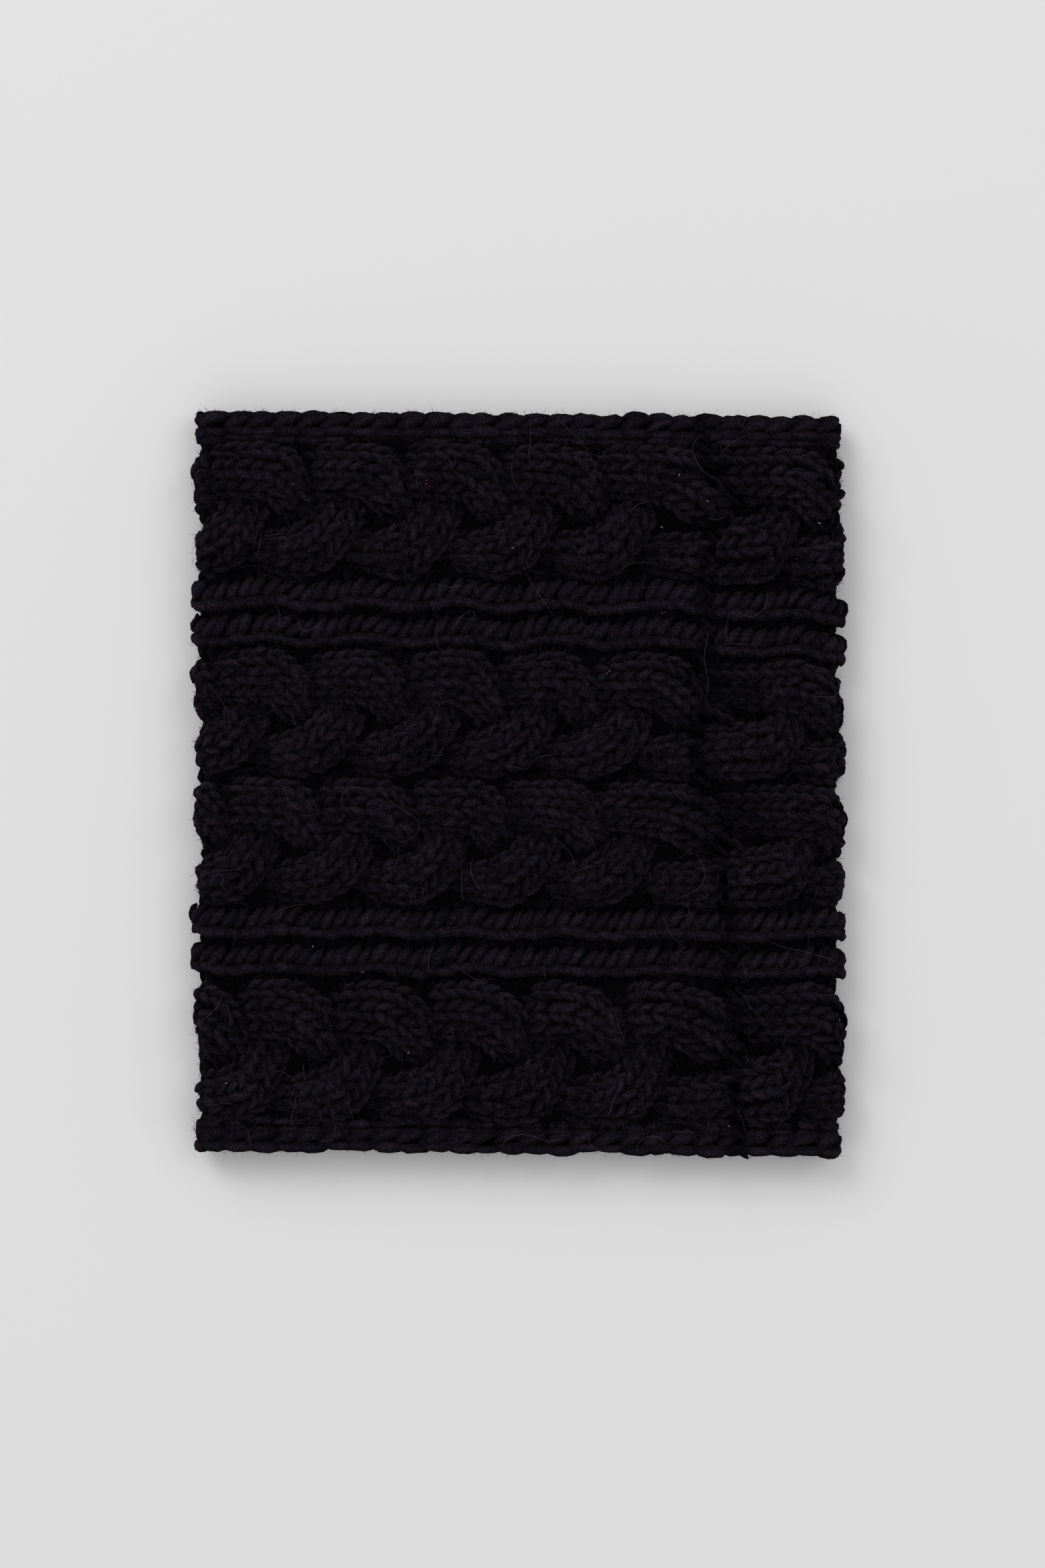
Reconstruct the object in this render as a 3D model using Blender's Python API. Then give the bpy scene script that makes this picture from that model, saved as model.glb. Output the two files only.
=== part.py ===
"""A chunky cable-knit neck warmer, laid flat.

It is one strip, knitted sideways: braids, ribs and chained edges all run round the neck. The strip's
two short ends meet in an upright seam on the front, so its wall is C-shaped in section, and the tube
is laid flat, front on back. X runs to the wearer's left across the front, Y up to the top edge and Z
up from the surface that it lies on. Lengths below are millimetres, and the mesh is in metres.
"""

import math

import bmesh
import bpy
import numpy as np

METRES_PER_MM = 0.001

# Laid-flat size of the whole garment.
FLAT_WIDTH = 264.3
STRIP_WIDTH = 297.6  # across the knitting, from the top edge to the bottom edge
LEAN = 2.4  # how much lower the right fold lies than the left one

# Heights over the surface, through the two layers of the flattened tube.
BACK_TOP = 8.0  # the back layer's inner face
LAYER_GAP = 0.8  # hollow left between the layers
FRONT_GROUND = 13.4  # outer face of the front between its raised stitches
FOLD_MIDDLE = 8.4  # widest level of the two folds
FOLD_REACH = 7.5  # how far a fold's arc runs out past the flat of the layers
FOLD_RIB_STAND = 5.7  # what the ribs add to that at the folds
FOLD_HOLLOW = 1.0  # how far the hollow runs into a fold

# Relief over the front's ground.
RIB_RISE = 4.2
CHAIN_RISE = 3.0  # the chained stitches along the top and bottom edges
STRAND_RISE = 4.4  # a braid's strand at its mean level
STRAND_SWING = 3.8  # more when it crosses over, and less when it passes under
BRAID_FLOOR_RISE = 2.6  # the strands passing underneath fill a braid up to this
RELIEF_SOFTNESS = 1.1
STRIPE_FILL = 0.48  # a rib's half width, as a share of its stripe's width
FOLD_BRAID_SHARE = 0.65  # relief left on a braid where it is stretched round a fold
FOLD_RIB_SHARE = 1.35  # and on a rib, which the fold opens up

# The strip's stripes from its top edge down. A braid has three strands, and a tip is a place, measured
# from the left fold, where a strand ends its crossing and dips under the next one. The pattern starts
# anew on the right of the seam.
STRIPES = [
    {"kind": "chain", "width": 12.8},
    {
        "kind": "braid", "width": 54.7, "pitch": 38.9, "lower_tip": 32.8, "upper_tip": 48.3,
        "seam_upper_tip": 215.5, "right_lower_tip": 243.5, "right_upper_tip": 258.1,
    },
    {"kind": "rib", "width": 13.8},
    {"kind": "rib", "width": 14.8},
    {
        "kind": "braid", "width": 50.7, "pitch": 38.0, "lower_tip": 34.1, "upper_tip": 48.8,
        "seam_upper_tip": 206.1, "right_lower_tip": 246.1, "right_upper_tip": 261.3,
    },
    {
        "kind": "braid", "width": 50.7, "pitch": 37.4, "lower_tip": 38.8, "upper_tip": 52.4,
        "seam_upper_tip": 216.8, "right_lower_tip": 251.5, "right_upper_tip": 264.4,
    },
    {"kind": "rib", "width": 14.6},
    {"kind": "rib", "width": 15.0},
    {
        "kind": "braid", "width": 57.6, "pitch": 38.0, "lower_tip": 41.0, "upper_tip": 59.4,
        "seam_upper_tip": 220.8, "right_lower_tip": 250.0, "right_upper_tip": 264.0,
    },
    {"kind": "chain", "width": 12.9},
]
TIPS_ON_LEFT = 5  # lower tips between the left fold and the seam
TIPS_ROUND_FOLD = 3  # tips of each sort that follow on past a fold
SEAM_LOBE_STRETCH = 1.4  # the lobes next to the seam are this much longer than the others
# Right of the seam a lobe lies level at first, and turns over these last phases and pitches to its tip.
LATE_TURN = {"phases": 0.8, "pitches": 0.35}

# A strand is three columns of stitches (wales) side by side. Going down it makes an upper lobe, and
# going up a lower one. Each row is a phase of its way, the wale's place down from the braid's middle in
# shares of the braid's width, and its level: 1 on top, and -1 under the other strands. A strand comes
# out from under the lobe before it at phase 1, and has passed under the next one at phase 3.
WALES_DOWN = [
    [
        (1.00, -0.413, -0.30), (1.10, -0.416, 0.15), (1.20, -0.420, 0.50), (1.50, -0.421, 0.65),
        (2.00, -0.418, 0.85), (2.30, -0.405, 0.90), (2.55, -0.372, 0.90), (2.75, -0.307, 0.85),
        (2.90, -0.226, 0.75), (2.98, -0.152, 0.60), (3.04, -0.064, 0.30), (3.08, 0.011, -0.20),
        (3.13, 0.079, -0.80), (3.20, 0.153, -1.00), (3.55, 0.227, -1.00), (3.62, 0.241, -0.50),
        (3.75, 0.237, -0.10), (4.00, 0.225, 0.30),
    ],
    [
        (1.00, -0.274, -0.30), (1.10, -0.275, 0.20), (1.20, -0.278, 0.55), (1.50, -0.278, 0.75),
        (2.00, -0.264, 1.00), (2.30, -0.219, 1.00), (2.50, -0.169, 0.95), (2.70, -0.108, 0.85),
        (2.85, -0.043, 0.60), (2.95, 0.018, 0.20), (3.03, 0.072, -0.40), (3.10, 0.126, -0.90),
        (3.20, 0.180, -1.00), (3.55, 0.302, -1.00), (3.62, 0.315, -0.50), (3.75, 0.324, 0.00),
        (4.00, 0.332, 0.40),
    ],
    [
        (1.00, -0.131, -0.20), (1.10, -0.131, 0.20), (1.20, -0.131, 0.55), (1.50, -0.129, 0.80),
        (1.80, -0.121, 0.90), (2.00, -0.107, 0.85), (2.20, -0.064, 0.85), (2.35, -0.010, 0.70),
        (2.50, 0.038, 0.35), (2.60, 0.074, -0.10), (2.70, 0.112, -0.70), (2.80, 0.153, -1.00),
        (3.20, 0.234, -1.00), (3.55, 0.370, -1.00), (3.62, 0.383, -0.60), (3.75, 0.405, -0.10),
        (4.00, 0.429, 0.25),
    ],
]
WALES_UP = [
    [
        (1.00, 0.225, 0.30), (1.30, 0.213, 0.50), (1.60, 0.191, 0.60), (2.00, 0.126, 0.75),
        (2.15, 0.074, 0.70), (2.25, 0.024, 0.65), (2.32, -0.030, 0.35), (2.36, -0.070, -0.30),
        (2.40, -0.104, -0.90), (2.50, -0.158, -1.00), (3.00, -0.294, -1.00), (3.80, -0.405, -1.00),
        (3.90, -0.409, -0.80), (4.00, -0.413, -0.30),
    ],
    [
        (1.00, 0.332, 0.40), (1.30, 0.329, 0.65), (1.60, 0.315, 0.85), (2.00, 0.272, 1.00),
        (2.20, 0.210, 1.00), (2.35, 0.137, 0.90), (2.45, 0.079, 0.70), (2.53, 0.018, 0.65),
        (2.58, -0.030, 0.30), (2.61, -0.064, -0.30), (2.66, -0.104, -0.90), (2.80, -0.158, -1.00),
        (3.80, -0.267, -1.00), (3.90, -0.270, -0.80), (4.00, -0.274, -0.30),
    ],
    [
        (1.00, 0.429, 0.25), (1.40, 0.444, 0.50), (1.70, 0.445, 0.60), (2.00, 0.435, 0.70),
        (2.30, 0.390, 0.85), (2.50, 0.315, 0.90), (2.65, 0.227, 0.90), (2.78, 0.112, 0.75),
        (2.83, 0.045, 0.65), (2.87, -0.016, 0.35), (2.89, -0.050, -0.20), (2.92, -0.084, -0.90),
        (3.00, -0.104, -1.00), (3.80, -0.125, -1.00), (3.90, -0.127, -0.75), (4.00, -0.131, -0.20),
    ],
]
WALE_SPACING_SHARE = 0.145  # between a strand's wales, as a share of its braid's width
WALE_CRESTS = (0.78, 1.0, 0.78)  # height of the three wales, which make the strand's section round
STRAND_EDGE = 0.55  # what is left of an outer wale's height at the strand's side
WAY_SOFTNESS = 0.05

# Rows of rib stitches ride up and down between the lobes of the braid above them.
RIB_WAVES = [
    {"braid": 0, "height": 1.3, "from": 40.0, "full": 67.0, "fading": 96.0, "to": 122.0},
    {"braid": 2, "height": 0.8, "from": 172.0, "full": 198.5, "fading": 228.0, "to": 258.0},
]

# Towards the right fold the rows hang lower, by this much at the fold itself.
SAG_START = 178.0  # from the left fold
SAG_GROWTH = 1.4  # the sag grows with this power of the distance
RIGHT_SAG = [
    {"down": 0.0, "drop": 0.0},
    {"down": 67.0, "drop": 3.8},
    {"down": 96.0, "drop": 4.6},
    {"down": 147.5, "drop": 1.5},
    {"down": 200.0, "drop": -0.8},
    {"down": 297.6, "drop": 0.0},
]

# The seam on the front, where the strip's two ends meet: its places, from the left fold. It bends round
# the last lobe of each braid.
SEAM_WAY = [
    {"down": 0.0, "place": 207.0},
    {"down": 12.0, "place": 205.0},
    {"down": 21.0, "place": 206.5},
    {"down": 31.0, "place": 216.5},
    {"down": 41.0, "place": 217.0},
    {"down": 49.0, "place": 209.5},
    {"down": 66.0, "place": 205.5},
    {"down": 76.0, "place": 208.0},
    {"down": 95.0, "place": 207.0},
    {"down": 106.0, "place": 201.5},
    {"down": 122.0, "place": 207.0},
    {"down": 132.0, "place": 202.5},
    {"down": 148.0, "place": 206.0},
    {"down": 157.0, "place": 205.0},
    {"down": 168.0, "place": 213.5},
    {"down": 186.0, "place": 213.0},
    {"down": 202.0, "place": 216.0},
    {"down": 232.0, "place": 216.0},
    {"down": 250.0, "place": 221.0},
    {"down": 266.0, "place": 217.5},
    {"down": 297.6, "place": 220.5},
]
SEAM_GAP = 0.4
SEAM_SINK = 0.35  # share of the relief left at the seam
SEAM_SINK_REACH = 6.5
SEAM_LIP = 1.6  # width of the narrow column on each side of it

# Rounding of the long edges and of the four corners.
EDGE_ROUND = 5.0
EDGE_DROP = 3.0
UNDER_EDGE_LIFT = 2.6
CORNER_ROUND = 3.5

# How the surface is divided.
BRAID_ROWS = 12
RIB_ROWS = 4
LEFT_FRONT_COLUMNS = 49
RIGHT_FRONT_COLUMNS = 11
FOLD_COLUMNS = 4  # in each quarter of a fold
CHAIN_ROWS = [0.0, 1.2, 3.4, 6.6, 9.8]  # distances in from the edge

WOOL = {"colour": "#110E13", "roughness": 0.95}


def smooth_step(t):
    """0 to 1 with level ends."""
    t = np.clip(t, 0.0, 1.0)
    return t * t * (3.0 - 2.0 * t)


def laid_out_stripes():
    """The stripes with the place of each one's upper edge and middle, down from the top edge."""
    top = 0.0
    stripes = []
    for stripe in STRIPES:
        stripes.append({**stripe, "top": top, "middle": top + stripe["width"] / 2})
        top += stripe["width"]
    return stripes


STRIPE_PLACES = laid_out_stripes()
BRAIDS = [stripe for stripe in STRIPE_PLACES if stripe["kind"] == "braid"]


def phase_from_tips(lower, upper, first, along, between=()):
    """Counts the tips passed at a distance along the strip: even at lower tips, odd at upper ones.

    between has more places with their phases.
    """
    tips = [tip for pair in zip(lower, upper) for tip in pair]
    known = sorted(list(zip(tips, np.arange(len(tips)) + 2.0 * first)) + list(between))
    return np.interp(along, [place for place, _ in known], [phase for _, phase in known])


def braid_phase(braid, along, down):
    """How far along its plait a braid is, for a place on the strip on either side of the seam."""
    pitch = braid["pitch"]
    lower = [braid["lower_tip"] + pitch * k for k in range(-TIPS_ROUND_FOLD, TIPS_ON_LEFT)]
    upper = [braid["upper_tip"] + pitch * k for k in range(-TIPS_ROUND_FOLD, TIPS_ON_LEFT - 1)]
    lower.append(lower[-1] + SEAM_LOBE_STRETCH * pitch)
    upper += [braid["seam_upper_tip"], lower[-1] + pitch / 2]
    on_left = phase_from_tips(lower, upper, -TIPS_ROUND_FOLD, along)

    lower = [braid["right_lower_tip"] + pitch * k for k in range(TIPS_ROUND_FOLD)]
    upper = [braid["right_upper_tip"] + pitch * k for k in range(TIPS_ROUND_FOLD)]
    lower.insert(0, lower[0] - SEAM_LOBE_STRETCH * pitch)
    upper.insert(0, upper[0] - SEAM_LOBE_STRETCH * pitch)
    turn = (braid["right_lower_tip"] - LATE_TURN["pitches"] * pitch, -LATE_TURN["phases"])
    on_right = phase_from_tips(lower, upper, -1, along, [turn])
    return np.where(along > seam_place(down), on_right, on_left)


def on_way(rows, column, way):
    """A wale's value at a phase of its way, with the corners rounded."""
    phases = [row[0] for row in rows]
    values = [row[column] for row in rows]
    shifts = (-WAY_SOFTNESS, 0.0, WAY_SOFTNESS)
    return sum(np.interp(way + shift, phases, values) for shift in shifts) / len(shifts)


def strand_wales(braid, phase, strand):
    """A strand's three wales, from the top: how far down from the top edge, and their level."""
    turn = (phase - 2.0 - 2.0 * strand) % 6.0
    going_down = turn >= 3.0
    way = 1.0 + turn % 3.0
    wales = []
    for down_rows, up_rows in zip(WALES_DOWN, WALES_UP):
        values = []
        for column in (1, 2):
            falling = on_way(down_rows, column, way)
            rising = on_way(up_rows, column, way)
            values.append(np.where(going_down, falling, rising))
        wales.append((braid["middle"] + braid["width"] * values[0], values[1]))
    return wales


def strand_height(braid, phase, down, strand):
    """Height of one strand's section at places down from the top edge, and nothing beside it."""
    wales = strand_wales(braid, phase, strand)
    side = WALE_SPACING_SHARE * braid["width"] / 2
    places = [wales[0][0] - side] + [place for place, _ in wales] + [wales[2][0] + side]
    crests = [crest * (STRAND_RISE + STRAND_SWING * level) for crest, (_, level) in zip(WALE_CRESTS, wales)]
    heights = [STRAND_EDGE * crests[0]] + crests + [STRAND_EDGE * crests[2]]
    total = np.zeros_like(down)
    for k in range(4):
        share = (down - places[k]) / np.maximum(places[k + 1] - places[k], 0.01)
        inside = (share >= 0.0) & (share < 1.0)
        total = np.where(inside, heights[k] + (heights[k + 1] - heights[k]) * share, total)
    return total


def braid_relief(braid, along, down):
    """Height of the topmost of the three strands."""
    phase = braid_phase(braid, along, down)
    strands = [strand_height(braid, phase, down, strand) for strand in range(3)]
    return np.maximum(np.maximum(strands[0], strands[1]), strands[2])


def relief(along, down, braid_share, rib_share):
    """Height of the knitting over the ground, for each place along the strip and down from its top."""
    height = np.zeros_like(down)
    for stripe in STRIPE_PLACES:
        off = (down - stripe["middle"]) / (STRIPE_FILL * stripe["width"])
        section = np.sqrt(np.clip(1.0 - off * off, 0.0, 1.0))
        if stripe["kind"] == "rib":
            height = np.maximum(height, rib_share * RIB_RISE * section)
        elif stripe["kind"] == "chain":
            height = np.maximum(height, CHAIN_RISE * section)
        else:
            raised = np.maximum(BRAID_FLOOR_RISE * section, braid_relief(stripe, along, down))
            height = np.maximum(height, braid_share * raised)
    return height


def soft_relief(along, down, braid_share, rib_share):
    """The relief, averaged over a small cross so that its ledges are rounded."""
    reach = RELIEF_SOFTNESS
    shifts = [(0.0, 0.0), (reach, 0.0), (-reach, 0.0), (0.0, reach), (0.0, -reach)]
    return sum(relief(along + a, down + d, braid_share, rib_share) for a, d in shifts) / len(shifts)


def settled(along, down, x):
    """Where each place down the strip comes to lie, with the ribs' waves and the sag on the right."""
    place = down + 0.0
    for wave in RIB_WAVES:
        phase = braid_phase(BRAIDS[wave["braid"]], along, down)
        stops = [wave["from"], wave["full"], wave["fading"], wave["to"]]
        share = np.interp(down, stops, [0.0, 1.0, 1.0, 0.0])
        place -= wave["height"] * share * np.cos(math.pi * phase)
    towards_fold = np.clip((x + FLAT_WIDTH / 2 - SAG_START) / (FLAT_WIDTH - SAG_START), 0.0, 1.0)
    drops = np.interp(down, [row["down"] for row in RIGHT_SAG], [row["drop"] for row in RIGHT_SAG])
    return place + drops * towards_fold**SAG_GROWTH


def row_places():
    """Where the surface's rows lie, down from the top edge."""
    rows = list(CHAIN_ROWS)
    for stripe in STRIPE_PLACES[1:-1]:
        count = BRAID_ROWS if stripe["kind"] == "braid" else RIB_ROWS
        rows += [stripe["top"] + stripe["width"] * k / count for k in range(count)]
    rows.append(STRIPE_PLACES[-1]["top"])
    rows += [STRIP_WIDTH - place for place in reversed(CHAIN_ROWS)]
    return np.array(rows)


def seam_place(down):
    """Distance of the seam from the left fold."""
    return np.interp(down, [row["down"] for row in SEAM_WAY], [row["place"] for row in SEAM_WAY])


def edge_nearness(down):
    """1 on the top and bottom edges and 0 from EDGE_ROUND inwards, along a quarter circle."""
    inward = np.clip(np.minimum(down, STRIP_WIDTH - down) / EDGE_ROUND, 0.0, 1.0)
    return 1.0 - np.sqrt(1.0 - (1.0 - inward) ** 2)


def corner_pull(down):
    """How far the folds draw in at the four corners."""
    inward = np.clip(np.minimum(down, STRIP_WIDTH - down) / CORNER_ROUND, 0.0, 1.0)
    return CORNER_ROUND * (1.0 - np.sqrt(1.0 - (1.0 - inward) ** 2))


FLAT_HALF = FLAT_WIDTH / 2 - FOLD_REACH - FOLD_RIB_STAND  # half width of the flat of the layers


def fold_columns(side, down):
    """A fold's columns, from the front round to the back: x, z, the relief's place and its shares."""
    columns = []
    reach = FOLD_REACH - corner_pull(down)
    quarter = FOLD_COLUMNS
    for k in range(2 * quarter + 1):
        turned = math.pi / 2 * k / quarter
        angle = math.pi / 2 - turned
        rise = FRONT_GROUND - FOLD_MIDDLE if angle > 0 else FOLD_MIDDLE
        share = 1.0 if angle >= 0 else 1.0 + math.sin(angle)
        upward = max(math.sin(angle), 0.0) ** 2
        columns.append(
            {
                "x": side * (FLAT_HALF + reach * math.cos(angle)),
                "z": FOLD_MIDDLE + rise * math.sin(angle) + 0.0 * down,
                "out": side * math.cos(angle),
                "up": max(math.sin(angle), 0.0),
                "along": FLAT_WIDTH / 2 + side * (FLAT_HALF + FOLD_REACH * turned) + 0.0 * down,
                "share": share,
                "braid_share": FOLD_BRAID_SHARE + (1.0 - FOLD_BRAID_SHARE) * upward,
                "rib_share": FOLD_RIB_SHARE + (1.0 - FOLD_RIB_SHARE) * upward,
            }
        )
    return columns


def front_columns(side, count, down):
    """Columns of the front between its seam and one fold, starting at the seam."""
    columns = []
    seam_x = seam_place(down) - FLAT_WIDTH / 2 + side * SEAM_GAP / 2
    fold_x = side * FLAT_HALF
    near_seam = [0.0, SEAM_LIP / abs(SEAM_WAY[0]["place"] - FLAT_WIDTH / 2 - fold_x)]
    for part in near_seam + [(k + 1.0) / count for k in range(count - 1)]:
        x = seam_x + (fold_x - seam_x) * part
        from_seam = np.abs(x - seam_x)
        sunk = SEAM_SINK + (1.0 - SEAM_SINK) * smooth_step(from_seam / SEAM_SINK_REACH)
        columns.append(
            {
                "x": x,
                "z": FRONT_GROUND + 0.0 * down,
                "out": 0.0,
                "up": 1.0,
                "along": x + FLAT_WIDTH / 2,
                "share": sunk,
                "braid_share": 1.0,
                "rib_share": 1.0,
            }
        )
    return columns


def leaned(x):
    """How much lower a point lies for being further to the right."""
    return LEAN * (x + FLAT_WIDTH / 2) / FLAT_WIDTH


def outer_points(down):
    """The wall's outer face: an array of columns by rows of points, from the seam's right side round
    the right fold, the back and the left fold to the seam's left side."""
    columns = front_columns(1, RIGHT_FRONT_COLUMNS, down)
    columns += fold_columns(1, down)
    columns += reversed(fold_columns(-1, down))
    columns += reversed(front_columns(-1, LEFT_FRONT_COLUMNS, down))
    edge = edge_nearness(down)
    points = []
    for column in columns:
        height = soft_relief(column["along"], down, column["braid_share"], column["rib_share"])
        height = column["share"] * height
        x = column["x"] + column["out"] * height
        z = column["z"] + column["up"] * (height - EDGE_DROP * edge)
        z = z + UNDER_EDGE_LIFT * edge * np.clip(1.0 - z / FOLD_MIDDLE, 0.0, 1.0)
        y = (STRIP_WIDTH + LEAN) / 2 - settled(column["along"], down, x) - leaned(x)
        points.append(np.stack([x, y, z], axis=1))
    return np.array(points)


def inner_column(bm, x, down, z):
    """Points of the wall's plain inner face, from the top edge down."""
    x = x + 0.0 * down
    y = (STRIP_WIDTH + LEAN) / 2 - settled(x + FLAT_WIDTH / 2, down, x) - leaned(x)
    points = np.stack([x, y, z + 0.0 * down], axis=1) * METRES_PER_MM
    return [bm.verts.new(point) for point in points]


def strip_mesh(name):
    """The whole wall: a relief grid outside, plain faces inside, and four rims between them."""
    down = row_places()
    outer = outer_points(down)
    bm = bmesh.new()
    grid = [[bm.verts.new(point * METRES_PER_MM) for point in column] for column in outer]

    # The inner face is plain: it has points only along the seam and at the ends of each layer's flat.
    last = len(outer) - 1
    right_fold = RIGHT_FRONT_COLUMNS + 1 + FOLD_COLUMNS
    left_fold = last - LEFT_FRONT_COLUMNS - 1 - FOLD_COLUMNS
    front_level = BACK_TOP + LAYER_GAP
    loop_x = FLAT_HALF + FOLD_HOLLOW
    seam_rims = [inner_column(bm, outer[k][:, 0], down, front_level) for k in (0, last)]
    ends = np.array([0.0, STRIP_WIDTH])
    right_front = inner_column(bm, loop_x, ends, front_level)
    right_back = inner_column(bm, loop_x, ends, BACK_TOP)
    left_back = inner_column(bm, -loop_x, ends, BACK_TOP)
    left_front = inner_column(bm, -loop_x, ends, front_level)

    for here, there in zip(grid, grid[1:]):
        for row in range(len(down) - 1):
            bm.faces.new((here[row], there[row], there[row + 1], here[row + 1]))
    stretches = [
        (0, right_fold, seam_rims[0], right_front),
        (right_fold, right_fold, right_front, right_back),
        (right_fold, left_fold, right_back, left_back),
        (left_fold, left_fold, left_back, left_front),
        (left_fold, last, left_front, seam_rims[1]),
    ]
    for first, final, inner_first, inner_final in stretches:
        for edge in (0, -1):
            outer_edge = [grid[k][edge] for k in range(first, final + 1)]
            bm.faces.new(outer_edge + [inner_final[edge], inner_first[edge]])
        bm.faces.new(inner_first + inner_final[::-1])
    for column, rim in ((grid[0], seam_rims[0]), (grid[-1], seam_rims[1])):
        for row in range(len(down) - 1):
            bm.faces.new((column[row], column[row + 1], rim[row + 1], rim[row]))

    bmesh.ops.triangulate(bm, faces=bm.faces)
    bmesh.ops.recalc_face_normals(bm, faces=bm.faces)
    mesh = bpy.data.meshes.new(name)
    bm.to_mesh(mesh)
    bm.free()
    mesh.shade_smooth()
    mesh.set_sharp_from_angle(angle=math.radians(60))
    return mesh


def wool_material():
    """Brushed wool yarn, nearly black with an aubergine tint."""
    material = bpy.data.materials.new("aubergine_black_wool")
    material.use_nodes = True
    shader = material.node_tree.nodes["Principled BSDF"]
    digits = WOOL["colour"][1:]
    linear = []
    for k in (0, 2, 4):
        value = int(digits[k : k + 2], 16) / 255
        linear.append(value / 12.92 if value <= 0.04045 else ((value + 0.055) / 1.055) ** 2.4)
    shader.inputs["Base Color"].default_value = (*linear, 1.0)
    shader.inputs["Roughness"].default_value = WOOL["roughness"]
    shader.inputs["Metallic"].default_value = 0.0
    return material


def main():
    for obj in list(bpy.data.objects):
        bpy.data.objects.remove(obj)
    strip = bpy.data.objects.new("knitted_strip", strip_mesh("knitted_strip"))
    strip.data.materials.append(wool_material())
    bpy.context.scene.collection.objects.link(strip)


main()
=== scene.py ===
"""Chunky cable-knit neck warmer, laid flat: every stitch of its outer face, in brushed wool yarn.

The tube is one strip knitted sideways, so its columns of stitches (wales) run round the neck and its
rows (courses) run up and down. Sizes are in millimetres and turned to metres where a mesh is made.
"""

import math

import bmesh
import bpy
import numpy as np
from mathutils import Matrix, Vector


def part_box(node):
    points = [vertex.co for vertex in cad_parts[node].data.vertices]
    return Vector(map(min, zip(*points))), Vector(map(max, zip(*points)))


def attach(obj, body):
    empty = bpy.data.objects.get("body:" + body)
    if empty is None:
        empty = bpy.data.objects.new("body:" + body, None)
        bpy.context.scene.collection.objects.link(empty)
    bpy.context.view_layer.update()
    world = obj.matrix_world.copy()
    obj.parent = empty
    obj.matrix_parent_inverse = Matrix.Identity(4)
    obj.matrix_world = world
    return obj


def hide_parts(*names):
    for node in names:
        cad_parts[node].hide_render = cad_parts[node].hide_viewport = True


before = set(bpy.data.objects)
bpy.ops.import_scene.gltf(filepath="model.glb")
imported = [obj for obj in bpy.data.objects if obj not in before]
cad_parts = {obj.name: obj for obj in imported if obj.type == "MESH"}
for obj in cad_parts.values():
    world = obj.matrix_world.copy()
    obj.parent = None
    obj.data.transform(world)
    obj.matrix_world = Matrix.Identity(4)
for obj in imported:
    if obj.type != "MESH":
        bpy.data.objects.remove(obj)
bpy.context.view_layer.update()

METRES_PER_MM = 0.001
strip_low, strip_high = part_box("knitted_strip")

# The fabric's sizes, as the solid has them.
FLAT_WIDTH = (strip_high[0] - strip_low[0]) / METRES_PER_MM
LEAN = 2.4  # how much lower the right fold lies than the left one
STRIP_WIDTH = 297.6
FRONT_GROUND = 13.4  # height of the front's ground, from which its relief rises
FOLD_MIDDLE = 8.4  # height of the folds' middle lines
FOLD_REACH = 7.5
FOLD_RIB_STAND = 5.7  # of the ribs over the folds' ground, at the outline
FLAT_HALF = FLAT_WIDTH / 2 - FOLD_REACH - FOLD_RIB_STAND
FOLD_LENGTH = math.pi * FOLD_REACH
ROUND_LENGTH = 4 * FLAT_HALF + 2 * FOLD_LENGTH  # once round the tube, along the fabric
RIB_RISE = 4.2
CHAIN_RISE = 3.0
STRAND_RISE = 4.4
STRAND_SWING = 3.8  # how much a strand's level adds to its height or takes off
BRAID_FLOOR_RISE = 2.6  # between a braid's strands
STRIPE_FILL = 0.48  # a rib's half width, as a share of its stripe's width
FOLD_BRAID_SHARE = 0.65  # relief left on a braid where it is stretched round a fold
LEFT_FOLD_REACH = 60.0  # from the middle of the left fold, where the braids are stretched more
LEFT_BRAID_SHARE = 0.46  # relief left on a braid there
FOLD_CHAIN_SHARE = 1.35  # relief of a chained edge on a fold, which opens it up
FOLD_RIB_SHARE = 1.35  # and of a rib
UNDER_SHARE = 0.15  # relief left on the pressed underside
UNDER_LIFT = 3.4  # which is raised by this, so that its crests rest on the surface
REST_HEIGHT = 0.05  # yarn on the underside is pressed flat this high over the surface
CORNER_ROUND = 3.5  # of the folds, at the top and bottom edges

STRIPES = [
    {"kind": "chain", "width": 12.8},
    {
        "kind": "braid", "width": 54.7, "pitch": 38.9, "lower_tip": 32.8, "upper_tip": 48.3,
        "seam_upper_tip": 215.5, "right_lower_tip": 243.5, "right_upper_tip": 258.1,
    },
    {"kind": "rib", "width": 13.8},
    {"kind": "rib", "width": 14.8},
    {
        "kind": "braid", "width": 50.7, "pitch": 38.0, "lower_tip": 34.1, "upper_tip": 48.8,
        "seam_upper_tip": 206.1, "right_lower_tip": 246.1, "right_upper_tip": 261.3,
    },
    {
        "kind": "braid", "width": 50.7, "pitch": 37.4, "lower_tip": 38.8, "upper_tip": 52.4,
        "seam_upper_tip": 216.8, "right_lower_tip": 251.5, "right_upper_tip": 264.4,
    },
    {"kind": "rib", "width": 14.6},
    {"kind": "rib", "width": 15.0},
    {
        "kind": "braid", "width": 57.6, "pitch": 38.0, "lower_tip": 41.0, "upper_tip": 59.4,
        "seam_upper_tip": 220.8, "right_lower_tip": 250.0, "right_upper_tip": 264.0,
    },
    {"kind": "chain", "width": 12.9},
]
TIPS_ON_LEFT = 5  # of lower lobes, between the left fold and the seam
SEAM_LOBE_STRETCH = 1.4  # length of the lobes beside the seam, in pitches
# A braid's phase grows by 1 from each tip to the next, and by 2 from one strand to the next. A strand is
# back in its place after all three.
STRAND_PHASES, ALL_PHASES = 2.0, 6.0
FIRST_LEFT_PHASE = -2.0  # of the front's left part, beside its fold
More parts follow.
